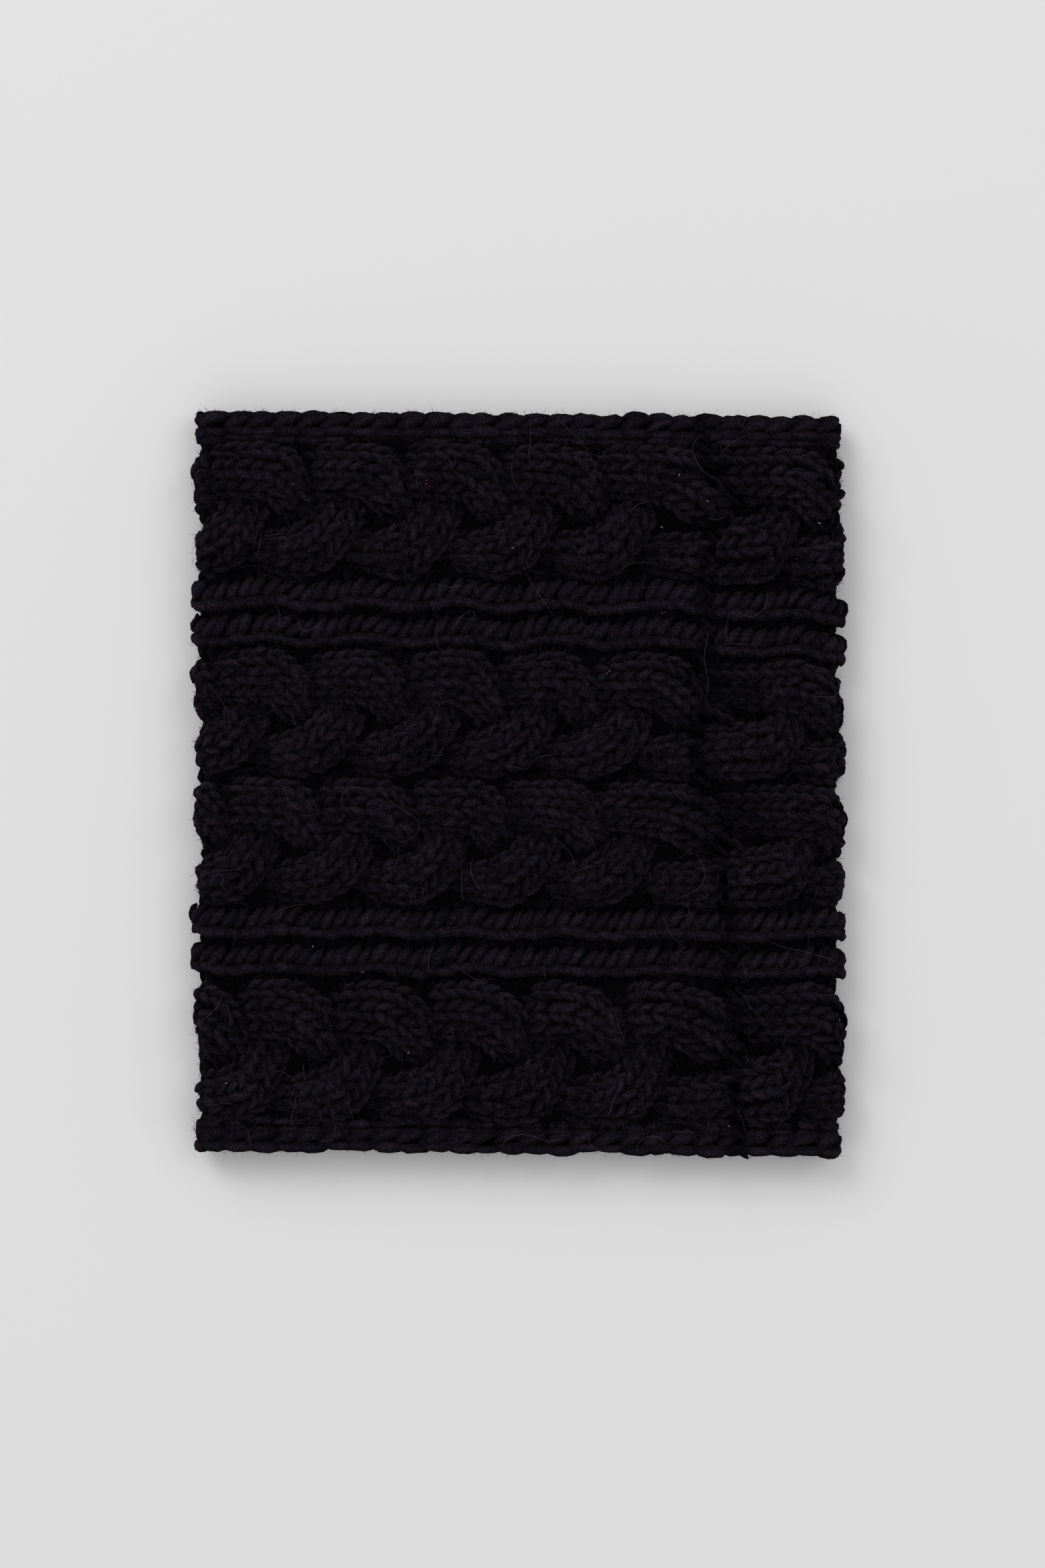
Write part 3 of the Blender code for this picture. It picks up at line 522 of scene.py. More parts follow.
def section_place(along, down):
    """The tube's section at a place along the fabric: x, z, and the outward direction's x and z.

    along runs right from the left fold over the front, down round the right fold, back under the tube
    and up round the left fold, and starts again after ROUND_LENGTH.
    """
    on = along % ROUND_LENGTH
    inward = np.clip(np.minimum(down, STRIP_WIDTH - down) / CORNER_ROUND, 0.0, 1.0)
    reach = FOLD_REACH - CORNER_ROUND * (1.0 - np.sqrt(1.0 - (1.0 - inward) ** 2))
    front_start = FLAT_WIDTH / 2 - FLAT_HALF
    front_end = front_start + 2 * FLAT_HALF
    under_start = front_end + FOLD_LENGTH
    under_end = under_start + 2 * FLAT_HALF
    on = np.where(on < front_start - FOLD_LENGTH, on + ROUND_LENGTH, on)
    late = on > under_end
    right_turn = np.clip((on - front_end) / FOLD_REACH, 0.0, math.pi)
    before_front = np.where(late, ROUND_LENGTH + front_start - on, front_start - on)
    left_turn = np.clip(before_front / FOLD_REACH, 0.0, math.pi)
    on_left = late | (on < front_start)
    turn = np.where(on_left, left_turn, right_turn)
    side = np.where(on_left, -1.0, 1.0)
    flat_x = np.clip(on - FLAT_WIDTH / 2, -FLAT_HALF, FLAT_HALF)
    under_x = FLAT_HALF - np.clip(on - under_start, 0.0, 2 * FLAT_HALF)
    x = np.where(on > under_start, under_x, flat_x)
    x = np.where(on_left, -FLAT_HALF, x) + side * reach * np.sin(turn)
    rise = np.where(turn < math.pi / 2, FRONT_GROUND - FOLD_MIDDLE, FOLD_MIDDLE - UNDER_LIFT)
    z = FOLD_MIDDLE + rise * np.cos(turn)
    return x, z, side * np.sin(turn), np.cos(turn)


def relief_share(out_z, kind_share):
    """How much of the relief is left where the tube turns under."""
    upper = kind_share + (1.0 - kind_share) * np.clip(out_z, 0.0, 1.0) ** 2
    return np.where(out_z >= 0.0, upper, upper + (UNDER_SHARE - upper) * smooth_step(-out_z))


def seam_share(along, down):
    """Relief left next to the seam, where the two ends are drawn in. The stitches' light is scaled by the
    same share there, as painted shade.
    """
    from_start = along - seam_place(down)
    nearest = np.minimum(np.abs(from_start), np.abs(ROUND_LENGTH - from_start))
    return SEAM_SINK + (1.0 - SEAM_SINK) * smooth_step(nearest / SEAM_SINK_REACH)


def fabric_points(along, down, height, fold_share, below):
    """Points at a height over the fabric's ground, less a depth below that, and the outward directions."""
    x, z, out_x, out_z = section_place(along, down)
    stand = height * relief_share(out_z, fold_share) * seam_share(along, down) - below
    x = x + out_x * stand
    z = z + out_z * stand
    y = (STRIP_WIDTH + LEAN) / 2 - settled(along, down, x) - LEAN * (x + FLAT_WIDTH / 2) / FLAT_WIDTH
    return np.stack([x, y, z], axis=-1), np.stack([out_x, 0.0 * out_x, out_z], axis=-1)


def unit(vectors):
    return vectors / np.maximum(np.linalg.norm(vectors, axis=-1, keepdims=True), 1e-9)


# Wales: the tracks that stitches follow.


def wale(along, down, height, width, fold_share=1.0, lean=0.0, shown=True, light=1.0):
    """A track's points with their forward, outward and upward (across) directions, by length.

    light is the share of light that reaches the stitches, less where they lie deep.
    """
    flat = np.ones_like(along)
    down = down * flat
    past_start = along - seam_place(down)
    shown = shown & (past_start > SEAM_CLEAR) & (past_start < ROUND_LENGTH - SEAM_CLEAR)
    points, out = fabric_points(along, down, height * flat, fold_share * flat, WALE_DEPTH)
    forward = unit(np.gradient(points, axis=0))
    out = unit(out - forward * np.sum(out * forward, axis=1, keepdims=True))
    across = np.cross(out, forward)
    tilted = math.cos(lean) * out + math.sin(lean) * across
    steps = np.linalg.norm(np.diff(points, axis=0), axis=1)
    return {
        "length": np.concatenate([[0.0], np.cumsum(steps)]),
        "points": points,
        "out": tilted,
        "across": math.cos(lean) * across - math.sin(lean) * out,
        "along": along,
        "width": width * flat,
        "shown": shown * flat,
        "light": light * seam_share(along, down),
    }


def track_samples():
    """Places along the fabric once round, from left of all of the seam to right of all of it."""
    places = [place for _, place in SEAM_WAY]
    return np.arange(min(places), max(places) + ROUND_LENGTH, TRACK_STEP)


def plain_wale(down, height, width, fold_share=1.0, light=1.0):
    return wale(track_samples(), down, height, width, fold_share, light=light)


def level_light(level):
    """The share of light that reaches a strand at a level."""
    share = (level - HIDDEN_LEVEL) / (LIT_LEVEL - HIDDEN_LEVEL)
    return UNDER_LIGHT + (1.0 - UNDER_LIGHT) * smooth_step(share)


def strand_wale(braid, strand, number):
    along = track_samples()
    down, level = strand_wales(braid, along, strand)[number]
    height = (STRAND_RISE + STRAND_SWING * level) * WALE_CRESTS[number]
    lean = WALE_TILT * (1 - number)
    width = WALE_SPACING_SHARE * braid["width"]
    shown = level > HIDDEN_LEVEL
    return wale(along, down, height, width, braid_fold_share(along), lean, shown, level_light(level))


def at(track, key, length):
    """A track's points or directions at given lengths along it."""
    columns = [np.interp(length, track["length"], track[key][:, k]) for k in range(3)]
    return np.stack(columns, axis=-1)


def bezier(curve, u):
    a, b, c, d = (np.array(point) for point in curve)
    u = u[:, None]
    return (1 - u) ** 3 * a + 3 * u * (1 - u) ** 2 * b + 3 * u * u * (1 - u) * c + u**3 * d


def corner_map(bm, rings):
    """What joined_mesh needs of a straight piece of yarn: each point's turn and ring, and its faces."""
    turn = [math.atan2(vert.co.y, vert.co.x) / (2 * math.pi) % 1.0 for vert in bm.verts]
    ring = [round((vert.co.z + 0.5) * (rings - 1)) for vert in bm.verts]
    loops, sizes, around = [], [], []
    for face in bm.faces:
        corners = [vert.index for vert in face.verts]
        turns = [turn[index] for index in corners]
        wraps = max(turns) - min(turns) > 0.5 and len(corners) == 4
        around += [t + 1.0 if wraps and t < 0.5 else t for t in turns]
        loops += corners
        sizes.append(len(corners))
    return {
        "turn": np.array(turn) * 2 * math.pi,
        "ring": np.array(ring),
        "loops": np.array(loops),
        "sizes": np.array(sizes),
        "around": np.array(around),
        "rings": rings,
    }


def leg_template(sides, rings):
    """A straight leg of unit radius and length, with its yarn map's coordinates for each corner."""
    bm = bmesh.new()
    bmesh.ops.create_cone(bm, cap_ends=True, segments=sides, radius1=1.0, radius2=1.0, depth=1.0)
    upright = [edge for edge in bm.edges if abs(edge.verts[0].co.z - edge.verts[1].co.z) > 0.5]
    bmesh.ops.subdivide_edges(bm, edges=upright, cuts=rings - 2, use_grid_fill=True)
    bmesh.ops.recalc_face_normals(bm, faces=bm.faces)
    template = corner_map(bm, rings)
    bm.free()
    return template


def spike_template():
    """A three-sided spike, as leg_template gives a leg."""
    bm = bmesh.new()
    bmesh.ops.create_cone(bm, cap_ends=True, segments=3, radius1=1.0, radius2=0.0, depth=1.0)
    bmesh.ops.remove_doubles(bm, verts=bm.verts, dist=0.001)
    bmesh.ops.recalc_face_normals(bm, faces=bm.faces)
    template = corner_map(bm, 2)
    bm.free()
    return template


FRONT_TEMPLATE = leg_template(**FRONT_LEG)
BACK_TEMPLATE = leg_template(**BACK_LEG)


def legs_along(track, kind, pitch, template, keep):
    """Every leg of a kind of stitch along a track: points, light, and the yarn's length and girth."""
    total = track["length"][-1]
    count = round(total / pitch)
    pitch = total / count
    starts = (np.arange(count) + FIRST_STITCH) * pitch
    starts = starts + rng.normal(0.0, START_JITTER * pitch, count)
    along = np.interp(starts, track["length"], track["along"])
    shown = np.interp(starts + STITCH_MIDDLE * pitch, track["length"], track["shown"]) > 0.5
    starts = starts[shown & keep(along)]
    each = (len(starts), 1)
    u = np.linspace(0.0, 1.0, template["rings"])
    swell = np.sin(math.pi * (LEG_ENDS + (1.0 - 2.0 * LEG_ENDS) * u)) ** 0.5
    ring, turn = template["ring"], template["turn"]
    side_light = SIDE_LIGHT + (1.0 - SIDE_LIGHT) * np.clip(np.sin(turn), 0.0, 1.0) ** SIDE_FALL
    end_light = END_LIGHT + (1.0 - END_LIGHT) * np.sin(math.pi * u) ** END_FALL
    made = []
    for yarn_radius, *control in STITCHES[kind]:
        curve = bezier(control, u)[None] * (1.0 + rng.normal(0.0, CURVE_JITTER, (*each, 3)))
        curve[..., 1] += rng.normal(0.0, ACROSS_JITTER, each)
        curve[..., 2] += rng.normal(0.0, OUT_JITTER, each)
        length = np.clip(starts[:, None] + curve[..., 0] * pitch, 0.0, total)
        out, across = at(track, "out", length), at(track, "across", length)
        width = np.interp(length, track["length"], track["width"])
        light = np.interp(length, track["length"], track["light"])
        centre = at(track, "points", length) + across * (curve[..., 1] * width)[..., None]
        centre = centre + out * curve[..., 2][..., None]
        radius = yarn_radius * swell[None] * (1.0 + rng.normal(0.0, RADIUS_JITTER, each))
        reach = radius[:, ring] * (1.0 + rng.normal(0.0, LUMPS, (len(starts), len(ring))))
        points = round_centre(template, centre, out, reach, FLATTENING * reach)
        points[..., 2] = np.maximum(points[..., 2], REST_HEIGHT)
        light = light[:, ring] * side_light * end_light[ring]
        girth = 2 * math.pi * yarn_radius
        made.append({"points": points, "length": leg_length(centre), "girth": girth, "light": light})
    return made


def round_centre(template, centre, out, half_width, half_depth):
    """Points of yarn round its centre lines, from its half width and half depth at each point."""
    forward = unit(np.gradient(centre, axis=1))
    side = unit(np.cross(out, forward))
    up = np.cross(forward, side)
    ring, turn = template["ring"], template["turn"]
    return (
        centre[:, ring]
        + (half_width * np.cos(turn))[..., None] * side[:, ring]
        + (half_depth * np.sin(turn))[..., None] * up[:, ring]
    )


def leg_length(centre):
    return np.linalg.norm(np.diff(centre, axis=1), axis=2).sum(axis=1)


def joined_mesh(name, batches):
    """One mesh of every leg in (template, legs) batches, with a UV map in millimetres of yarn."""
    points, loops, sizes, maps, lights = [], [], [], [], []
    first = 0
    for template, legs in batches:
        count, per_leg = legs["points"].shape[:2]
        if count == 0:
            continue
        points.append(legs["points"].reshape(-1, 3))
        lights.append(legs["light"].ravel())
        starts = first + per_leg * np.arange(count)
        loops.append((starts[:, None] + template["loops"][None]).ravel())
        sizes.append(np.tile(template["sizes"], count))
        share = template["ring"][template["loops"]] / (template["rings"] - 1)
        along_yarn = legs["length"][:, None] * share[None] + rng.uniform(0, MAP_ROOM, (count, 1))
        round_yarn = legs["girth"] * template["around"][None] + rng.uniform(0, MAP_ROOM, (count, 1))
        maps.append(np.stack([along_yarn.ravel(), round_yarn.ravel()], axis=1))
        first += count * per_leg
    points, loops = np.concatenate(points), np.concatenate(loops)
    sizes, maps = np.concatenate(sizes), np.concatenate(maps)
    mesh = bpy.data.meshes.new(name)
    mesh.vertices.add(len(points))
    mesh.vertices.foreach_set("co", (points * METRES_PER_MM).astype(np.float32).ravel())
    mesh.loops.add(len(loops))
    mesh.loops.foreach_set("vertex_index", loops.astype(np.int32))
    mesh.polygons.add(len(sizes))
    mesh.polygons.foreach_set("loop_start", np.concatenate([[0], np.cumsum(sizes)[:-1]]).astype(np.int32))
    mesh.update(calc_edges=True)
    uv = mesh.uv_layers.new(name="yarn")
    uv.data.foreach_set("uv", maps.astype(np.float32).ravel())
    light = mesh.attributes.new("light", "FLOAT", "POINT")
    light.data.foreach_set("value", np.concatenate(lights).astype(np.float32))
    mesh.validate()
    mesh.shade_smooth()
    return placed(name, mesh)


def on_front(along):
    """True over the front and both folds, where the stitches are seen closely."""
    _, _, _, out_z = section_place(along, np.full_like(along, STRIP_WIDTH / 2))
    return out_z > FRONT_FACING


def under(along):
    return ~on_front(along)


def knit(name, tracks, felts=()):
    """One piece of knitting from (track, kind of stitch, stitch pitch) rows and strips of felt."""
    batches = list(felts)
    for track, kind, pitch in tracks:
        for template, keep in ((FRONT_TEMPLATE, on_front), (BACK_TEMPLATE, under)):
            batches += [(template, legs) for legs in legs_along(track, kind, pitch, template, keep)]
    return joined_mesh(name, batches)


def floor_wale(down):
    """A purl column under a braid, made only where no strand covers it."""
    along = track_samples()
    height, _ = relief(along, np.full_like(along, down))
    shown = (height < BRAID_FLOOR_RISE + FLOOR_COVER) & on_front(along)
    height = BRAID_FLOOR_RISE - FLOOR_DROP
    fold_share = braid_fold_share(along)
    return wale(along, down, height, PURL_WALE_WIDTH, fold_share, shown=shown, light=FLOOR_LIGHT)


def felt_legs(rows):
    """The felted backs of the stitches: a strip of cloth through five rows of points, as one long leg."""
    steps = len(rows[0]["points"])
    bm = bmesh.new()
    bmesh.ops.create_grid(bm, x_segments=steps - 1, y_segments=len(rows) - 1, size=0.5)
    along = [round((vert.co.x + 0.5) * (steps - 1)) for vert in bm.verts]
    row = [round((0.5 - vert.co.y) * (len(rows) - 1)) for vert in bm.verts]
    loops = [vert.index for face in bm.faces for vert in face.verts]
    template = {
        "ring": np.array(along),
        "rings": steps,
        "loops": np.array(loops),
        "sizes": np.full(len(bm.faces), 4),
        "around": np.array(row)[loops] / (len(rows) - 1),
    }
    bm.free()
    points = np.stack([each["points"] for each in rows])[row, along]
    light = FELT_LIGHT * np.stack([each["light"] for each in rows])[row, along]
    length = leg_length(rows[2]["points"][None])
    girth = np.linalg.norm(rows[0]["points"] - rows[4]["points"], axis=1).mean()
    return template, {"points": points[None], "light": light[None], "length": length, "girth": girth}


def felt_place(along, braid, strand, row):
    """How far down a row of a strand's felt is, with its height, share of it on a fold, and light."""
    number, side, share = row
    down, level = strand_wales(braid, along, strand)[number]
    down = down + side * WALE_SPACING_SHARE * braid["width"] / 2
    height = share * (STRAND_RISE + STRAND_SWING * level) * WALE_CRESTS[number]
    return down, height, braid_fold_share(along), level_light(level)


def felt_row(braid, strand, row):
    """One row of a strip of felt, from the seam all the way round to the seam."""
    start = end = 0.0
    for _ in range(SETTLING_ROUNDS):
        first = seam_place(start) + FELT_CLEAR
        last = seam_place(end) + ROUND_LENGTH - FELT_CLEAR
        start, end = felt_place(np.array([first, last]), braid, strand, row)[0]
    along = np.linspace(first, last, FELT_STEPS)
    down, height, fold_share, light = felt_place(along, braid, strand, row)
    points, _ = fabric_points(along, down, height, fold_share, FELT_DEPTH)
    return {"points": points, "light": light * seam_share(along, down)}


def strand_felt(braid, strand):
    return felt_legs([felt_row(braid, strand, row) for row in FELT_ROWS])


def braid_piece(name, braid):
    tracks = [
        (strand_wale(braid, strand, number), "cable", CABLE_PITCH)
        for strand in range(3)
        for number in range(3)
    ]
    floor_rows = np.arange(FLOOR_PITCH / 2, braid["width"], FLOOR_PITCH)
    tracks += [(floor_wale(braid["top"] + row), "purl", ROW_PITCH) for row in floor_rows]
    return knit(name, tracks, [strand_felt(braid, strand) for strand in range(3)])


def rib_piece(name, ribs):
    tracks = [plain_wale(rib["middle"], RIB_RISE, RIB_WALE_WIDTH, FOLD_RIB_SHARE) for rib in ribs]
    return knit(name, [(track, "rib", ROW_PITCH) for track in tracks])


def chain_piece(name, stripe, stitch):
    track = plain_wale(stripe["middle"], CHAIN_RISE, CHAIN_WALE_WIDTH, FOLD_CHAIN_SHARE)
    return knit(name, [(track, stitch, 2 * ROW_PITCH)])


def purl_piece(name):
    """The purl columns in the channels between the stripes."""
    tracks = []
    for above, below in zip(STRIPE_PLACES, STRIPE_PLACES[1:]):
        by_edge = "chain" in (above["kind"], below["kind"])
        light = EDGE_CHANNEL_LIGHT if by_edge else CHANNEL_LIGHT
        track = plain_wale(below["top"], PURL_HEIGHT, PURL_WALE_WIDTH, light=light)
        tracks.append((track, "purl", ROW_PITCH))
    return knit(name, tracks)


def surface_points(pieces):
    """Points on the outsides of some pieces, in millimetres, with their normals and light."""
    points, normals, lights = [], [], []
    for piece in pieces:
        mesh = piece.data
        count = len(mesh.vertices)
        point, normal, light = np.empty(3 * count), np.empty(3 * count), np.empty(count)
        mesh.vertices.foreach_get("co", point)
        mesh.vertices.foreach_get("normal", normal)
        mesh.attributes["light"].data.foreach_get("value", light)
        points.append(point.reshape(-1, 3) / METRES_PER_MM)
        normals.append(normal.reshape(-1, 3))
        lights.append(light)
    return np.concatenate(points), np.concatenate(normals), np.concatenate(lights)


def nap_piece(name, pieces, count):
    """The brushed nap: short tapered fibres that lie across the stitches and over their gaps."""
    template = spike_template()
    points, normals, lights = surface_points(pieces)
    inside = np.abs(points[:, 0]) < FLAT_WIDTH / 2 - NAP_INSET
    open_places = np.flatnonzero((normals[:, 2] > NAP_FACING) & inside)
    chosen = rng.choice(open_places, count, p=lights[open_places] / lights[open_places].sum())
    root = points[chosen] + rng.normal(0.0, 1.0, (count, 3)) * NAP_SCATTER
    lift = rng.uniform(*NAP_LIFT, (count, 1))
    heading = unit(rng.normal(0.0, 1.0, (count, 3)) * (1.0, 1.0, 0.0) + normals[chosen] * lift)
    reach = rng.uniform(*NAP_LENGTH, (count, 1))
    side = unit(np.cross(heading, rng.normal(0.0, 1.0, (count, 3))))
    up = np.cross(side, heading)
    turn, rise = template["turn"], template["ring"]
    spread = FIBRE_RADIUS * (1.0 - rise)
    spikes = (
        root[:, None]
        + (heading * reach)[:, None] * rise[None, :, None]
        + (spread * np.cos(turn))[None, :, None] * side[:, None]
        + (spread * np.sin(turn))[None, :, None] * up[:, None]
    )
    light = lights[chosen][:, None] ** NAP_FALL * np.ones(len(rise))
    legs = {"points": spikes, "length": reach[:, 0], "girth": 2 * math.pi * FIBRE_RADIUS, "light": light}
    return joined_mesh(name, [(template, legs)])


def strip_down(place, shown_down):
    """How far down the strip a place on the front is, from how far down it shows."""
    x = place - FLAT_WIDTH / 2
    level_down = shown_down - LEAN * place / FLAT_WIDTH
    down = level_down
    for _ in range(SETTLING_ROUNDS):
        along = np.where(place < seam_place(down), place + ROUND_LENGTH, place)
        down = level_down - (settled(along, down, x) - down)
    return np.clip(down, 0.0, STRIP_WIDTH)


def over_front(place, down, lift):
    """Points of threads that lie over the front's yarn, at places from the left fold and down the strip."""
    along = np.where(place < seam_place(down), place + ROUND_LENGTH, place)
    height, fold_share = relief(along, down)
    padded = np.pad(height, ((0, 0), (1, 1)), mode="edge")
    height = np.maximum(np.maximum(padded[:, :-2], padded[:, 2:]), height)
    return fabric_points(along, down, height, fold_share, -lift)


def threads(size, place, down, lift, light):
    """Thin threads as a batch for joined_mesh, one for each row of places."""
    template = leg_template(size["sides"], size["rings"])
    centre, out = over_front(place, down, lift)
    taper = np.sin(math.pi * np.linspace(THREAD_END, 1.0 - THREAD_END, size["rings"])) ** THREAD_TAPER
    reach = np.ones((len(place), 1)) * size["radius"] * taper[template["ring"]]
    points = round_centre(template, centre, out, reach, reach)
    girth = 2 * math.pi * size["radius"]
    light = light[:, None] * np.ones(len(template["ring"]))
    return template, {"points": points, "length": leg_length(centre), "girth": girth, "light": light}


def even_run(places, count):
    """Evenly spaced places along a run of places, with its corners rounded."""
    places = np.array(places)
    steps = np.linalg.norm(np.diff(places, axis=0), axis=1)
    length = np.concatenate([[0.0], np.cumsum(steps)])
    wanted = np.linspace(0.0, length[-1], count)
    run = np.stack([np.interp(wanted, length, places[:, k]) for k in (0, 1)], axis=1)
    for _ in range(ROUNDING_PASSES):
        run[1:-1] = (run[:-2] + 2.0 * run[1:-1] + run[2:]) / 4.0
    return run


def hair_piece(name):
    """Pale hairs that have worked loose: the long ones by their places, and short ones everywhere."""
    runs = np.array([even_run(places, LONG_HAIR["rings"]) for places in LONG_HAIRS])
    down = strip_down(runs[..., 0], runs[..., 1])
    light = rng.uniform(*LONG_HAIR_LIGHT, len(runs))
    long_hairs = threads(LONG_HAIR, runs[..., 0], down, HAIR_LIFT, light)
    rings = STRAY_HAIR["rings"]
    margin = STRAY_LENGTH[1]
    room = (FLAT_WIDTH - 2 * margin, STRIP_WIDTH - 2 * margin)
    start = margin + rng.uniform(0.0, 1.0, (STRAY_HAIRS, 2)) * room
    heading = rng.uniform(0.0, 2 * math.pi, (STRAY_HAIRS, 1))
    heading = heading + rng.normal(0.0, STRAY_BEND, (STRAY_HAIRS, 1)) * np.arange(rings)
    step = rng.uniform(*STRAY_LENGTH, (STRAY_HAIRS, 1)) / rings
    place = start[:, :1] + np.cumsum(step * np.cos(heading), axis=1)
    down = start[:, 1:] + np.cumsum(step * np.sin(heading), axis=1)
    strays = threads(STRAY_HAIR, place, down, HAIR_LIFT, rng.uniform(*STRAY_LIGHT, STRAY_HAIRS))
    return joined_mesh(name, [long_hairs, strays])


def lump_piece(name, places):
    """Small lumps of other wool caught in the yarn, by their places."""
    places = np.array(places)[:, None]
    heading = rng.uniform(0.0, 2 * math.pi, len(places))[:, None]
    step = LUMP_LENGTH * np.linspace(-0.5, 0.5, LUMP["rings"])
    place = places[..., 0] + step * np.cos(heading)
    down = strip_down(place, places[..., 1] + step * np.sin(heading))
    return joined_mesh(name, [threads(LUMP, place, down, HAIR_LIFT, np.ones(len(places)))])


def seam_piece(name):
    """The yarn that sews the strip's two ends together, over and over, deep in the seam."""
    middle = np.arange(SEAM_STITCH, STRIP_WIDTH - SEAM_STITCH / 2, SEAM_STITCH)[:, None]
    middle = middle + rng.normal(0.0, SEAM_JITTER, middle.shape)
    step = np.linspace(-1.0, 1.0, SEAM_YARN["rings"])
    down = middle + SEAM_SLANT * step
    place = seam_place(down) + SEAM_REACH * step
    light = np.full(len(middle), SEAM_LIGHT)
    return joined_mesh(name, [threads(SEAM_YARN, place, down, -SEAM_DEPTH, light)])


def ground_piece(name):
    """The fabric's body behind the stitches, coloured nearly black as painted shade between them: one sheet
    from the seam round to the seam.
    """
    around, across = GROUND_STEPS
    bm = bmesh.new()
    bmesh.ops.create_grid(bm, x_segments=around, y_segments=across, size=0.5)
    grid = np.array([vert.co[:] for vert in bm.verts])
    down = GROUND_INSET + (0.5 - grid[:, 1]) * (STRIP_WIDTH - 2 * GROUND_INSET)
    length = ROUND_LENGTH - 2 * GROUND_CLEAR
    along = seam_place(down) + GROUND_CLEAR + (grid[:, 0] + 0.5) * length
    height, fold_share = relief(along, down)
    _, _, out_x, _ = section_place(along, down)
    depth = GROUND_DEPTH - FOLD_GROUND_RISE * np.abs(out_x)
    points, _ = fabric_points(along, down, height, fold_share, depth)
    for vert, point in zip(bm.verts, points):
        vert.co = point * METRES_PER_MM
    mesh = bpy.data.meshes.new(name)
    bm.to_mesh(mesh)
    bm.free()
    mesh.shade_smooth()
    return placed(name, mesh)


# Materials.


def linear(colour):
    """A linear colour from an sRGB hex value."""
    values = [int(colour[k : k + 2], 16) / 255 for k in (1, 3, 5)]
    return tuple(v / 12.92 if v <= 0.04045 else ((v + 0.055) / 1.055) ** 2.4 for v in values) + (1.0,)


def add(tree, kind, links=None, **settings):
    """A node with its settings, and its inputs linked to sockets or set to values."""
    node = tree.nodes.new(kind)
    for key, value in settings.items():
        setattr(node, key, value)
    for key, value in (links or {}).items():
        if isinstance(value, bpy.types.NodeSocket):
            tree.links.new(value, node.inputs[key])
        else:
            node.inputs[key].default_value = value
    return node


def maths(tree, operation, first, second):
    return add(tree, "ShaderNodeMath", {0: first, 1: second}, operation=operation).outputs["Value"]


def noise(tree, vector, scale, detail, output="Fac"):
    links = {"Vector": vector, "Scale": scale, "Detail": detail}
    return add(tree, "ShaderNodeTexNoise", links).outputs[output]


def measured(tree, vector, size, lean=0.0):
    """Coordinates in a pattern's own sizes along and round the yarn, turned by a lean."""
    links = {"Vector": vector, "Rotation": (0.0, 0.0, lean), "Scale": (*size, 1.0)}
    return add(tree, "ShaderNodeMapping", links, vector_type="TEXTURE").outputs["Vector"]


def spread(tree, value, start, end):
    """A value moved from a range, start, to another range, end."""
    links = {"Value": value, "From Min": start[0], "From Max": start[1], "To Min": end[0], "To Max": end[1]}
    return add(tree, "ShaderNodeMapRange", links).outputs["Result"]


def new_material(name, roughness, specular):
    material = bpy.data.materials.new(name)
    material.use_nodes = True
    shader = material.node_tree.nodes["Principled BSDF"]
    shader.inputs["Roughness"].default_value = roughness
    shader.inputs["Specular IOR Level"].default_value = specular
    return material, material.node_tree, shader


def brushed_wool(name, shades):
    """Wool spun thick and brushed: streaks of fibre along the yarn, in slate, aubergine and plum blended.

    The eye gets matt, dark, heathered yarn, with its tops lit and deep shade between its stitches.
    """
    material, tree, shader = new_material(name, roughness=0.9, specular=0.0)
    yarn = add(tree, "ShaderNodeUVMap", uv_map="yarn").outputs["UV"]
    space = add(tree, "ShaderNodeTexCoord").outputs["Object"]
    curl = noise(tree, yarn, CURL_SCALE, 1.0, "Color")
    links = {0: curl, 1: (*CURL, 0.0), 2: yarn}
    curled = add(tree, "ShaderNodeVectorMath", links, operation="MULTIPLY_ADD").outputs["Vector"]
    fibre_size = (FIBRE_LENGTH, FIBRE_WIDTH)
    layers = [noise(tree, measured(tree, curled, fibre_size, lean), 1.0, 1.0) for lean in FIBRE_LEANS]
    fibres = maths(tree, "MAXIMUM", *layers)
    nap = noise(tree, space, NAP_GRAINS, 3.0)
    heather = noise(tree, measured(tree, yarn, PATCH_SIZE), 1.0, 1.0)
    each_stitch = noise(tree, yarn, STITCH_GRAINS, 0.0)
    blend = add(tree, "ShaderNodeValToRGB", {"Fac": heather})
    stops = blend.color_ramp.elements
    stops.new(SHADE_STOPS[1])
    for stop, position, shade in zip(stops, SHADE_STOPS, shades):
        stop.position, stop.color = position, linear(shade)
    streaks = maths(tree, "MULTIPLY", fibres, STREAK_SHARE)
    fuzz = maths(tree, "MULTIPLY", nap, FUZZ_SHARE)
    grain = maths(tree, "ADD", streaks, fuzz)
    tone = spread(tree, grain, GRAIN_RANGE, GRAIN_TONE)
    stitch_tone = spread(tree, each_stitch, STITCH_RANGE, STITCH_TONE)
    both = maths(tree, "MULTIPLY", tone, stitch_tone)
    # Painted shade: the base colour is scaled by each point's light, darker under other strands, in the
    # channels and hollows, on the yarn's sides and ends, and by the seam.
    light = add(tree, "ShaderNodeAttribute", attribute_name="light")
    shaded = maths(tree, "MULTIPLY", both, light.outputs["Fac"])
    links = {0: blend.outputs["Color"], "Scale": shaded}
    colour = add(tree, "ShaderNodeVectorMath", links, operation="SCALE")
    tree.links.new(colour.outputs["Vector"], shader.inputs["Base Color"])
    bump = add(tree, "ShaderNodeBump", {"Height": grain, "Strength": 0.8, "Distance": 0.0005})
    tree.links.new(bump.outputs["Normal"], shader.inputs["Normal"])
    shader.inputs["Sheen Weight"].default_value = 0.02
    shader.inputs["Sheen Roughness"].default_value = 0.5
    return material


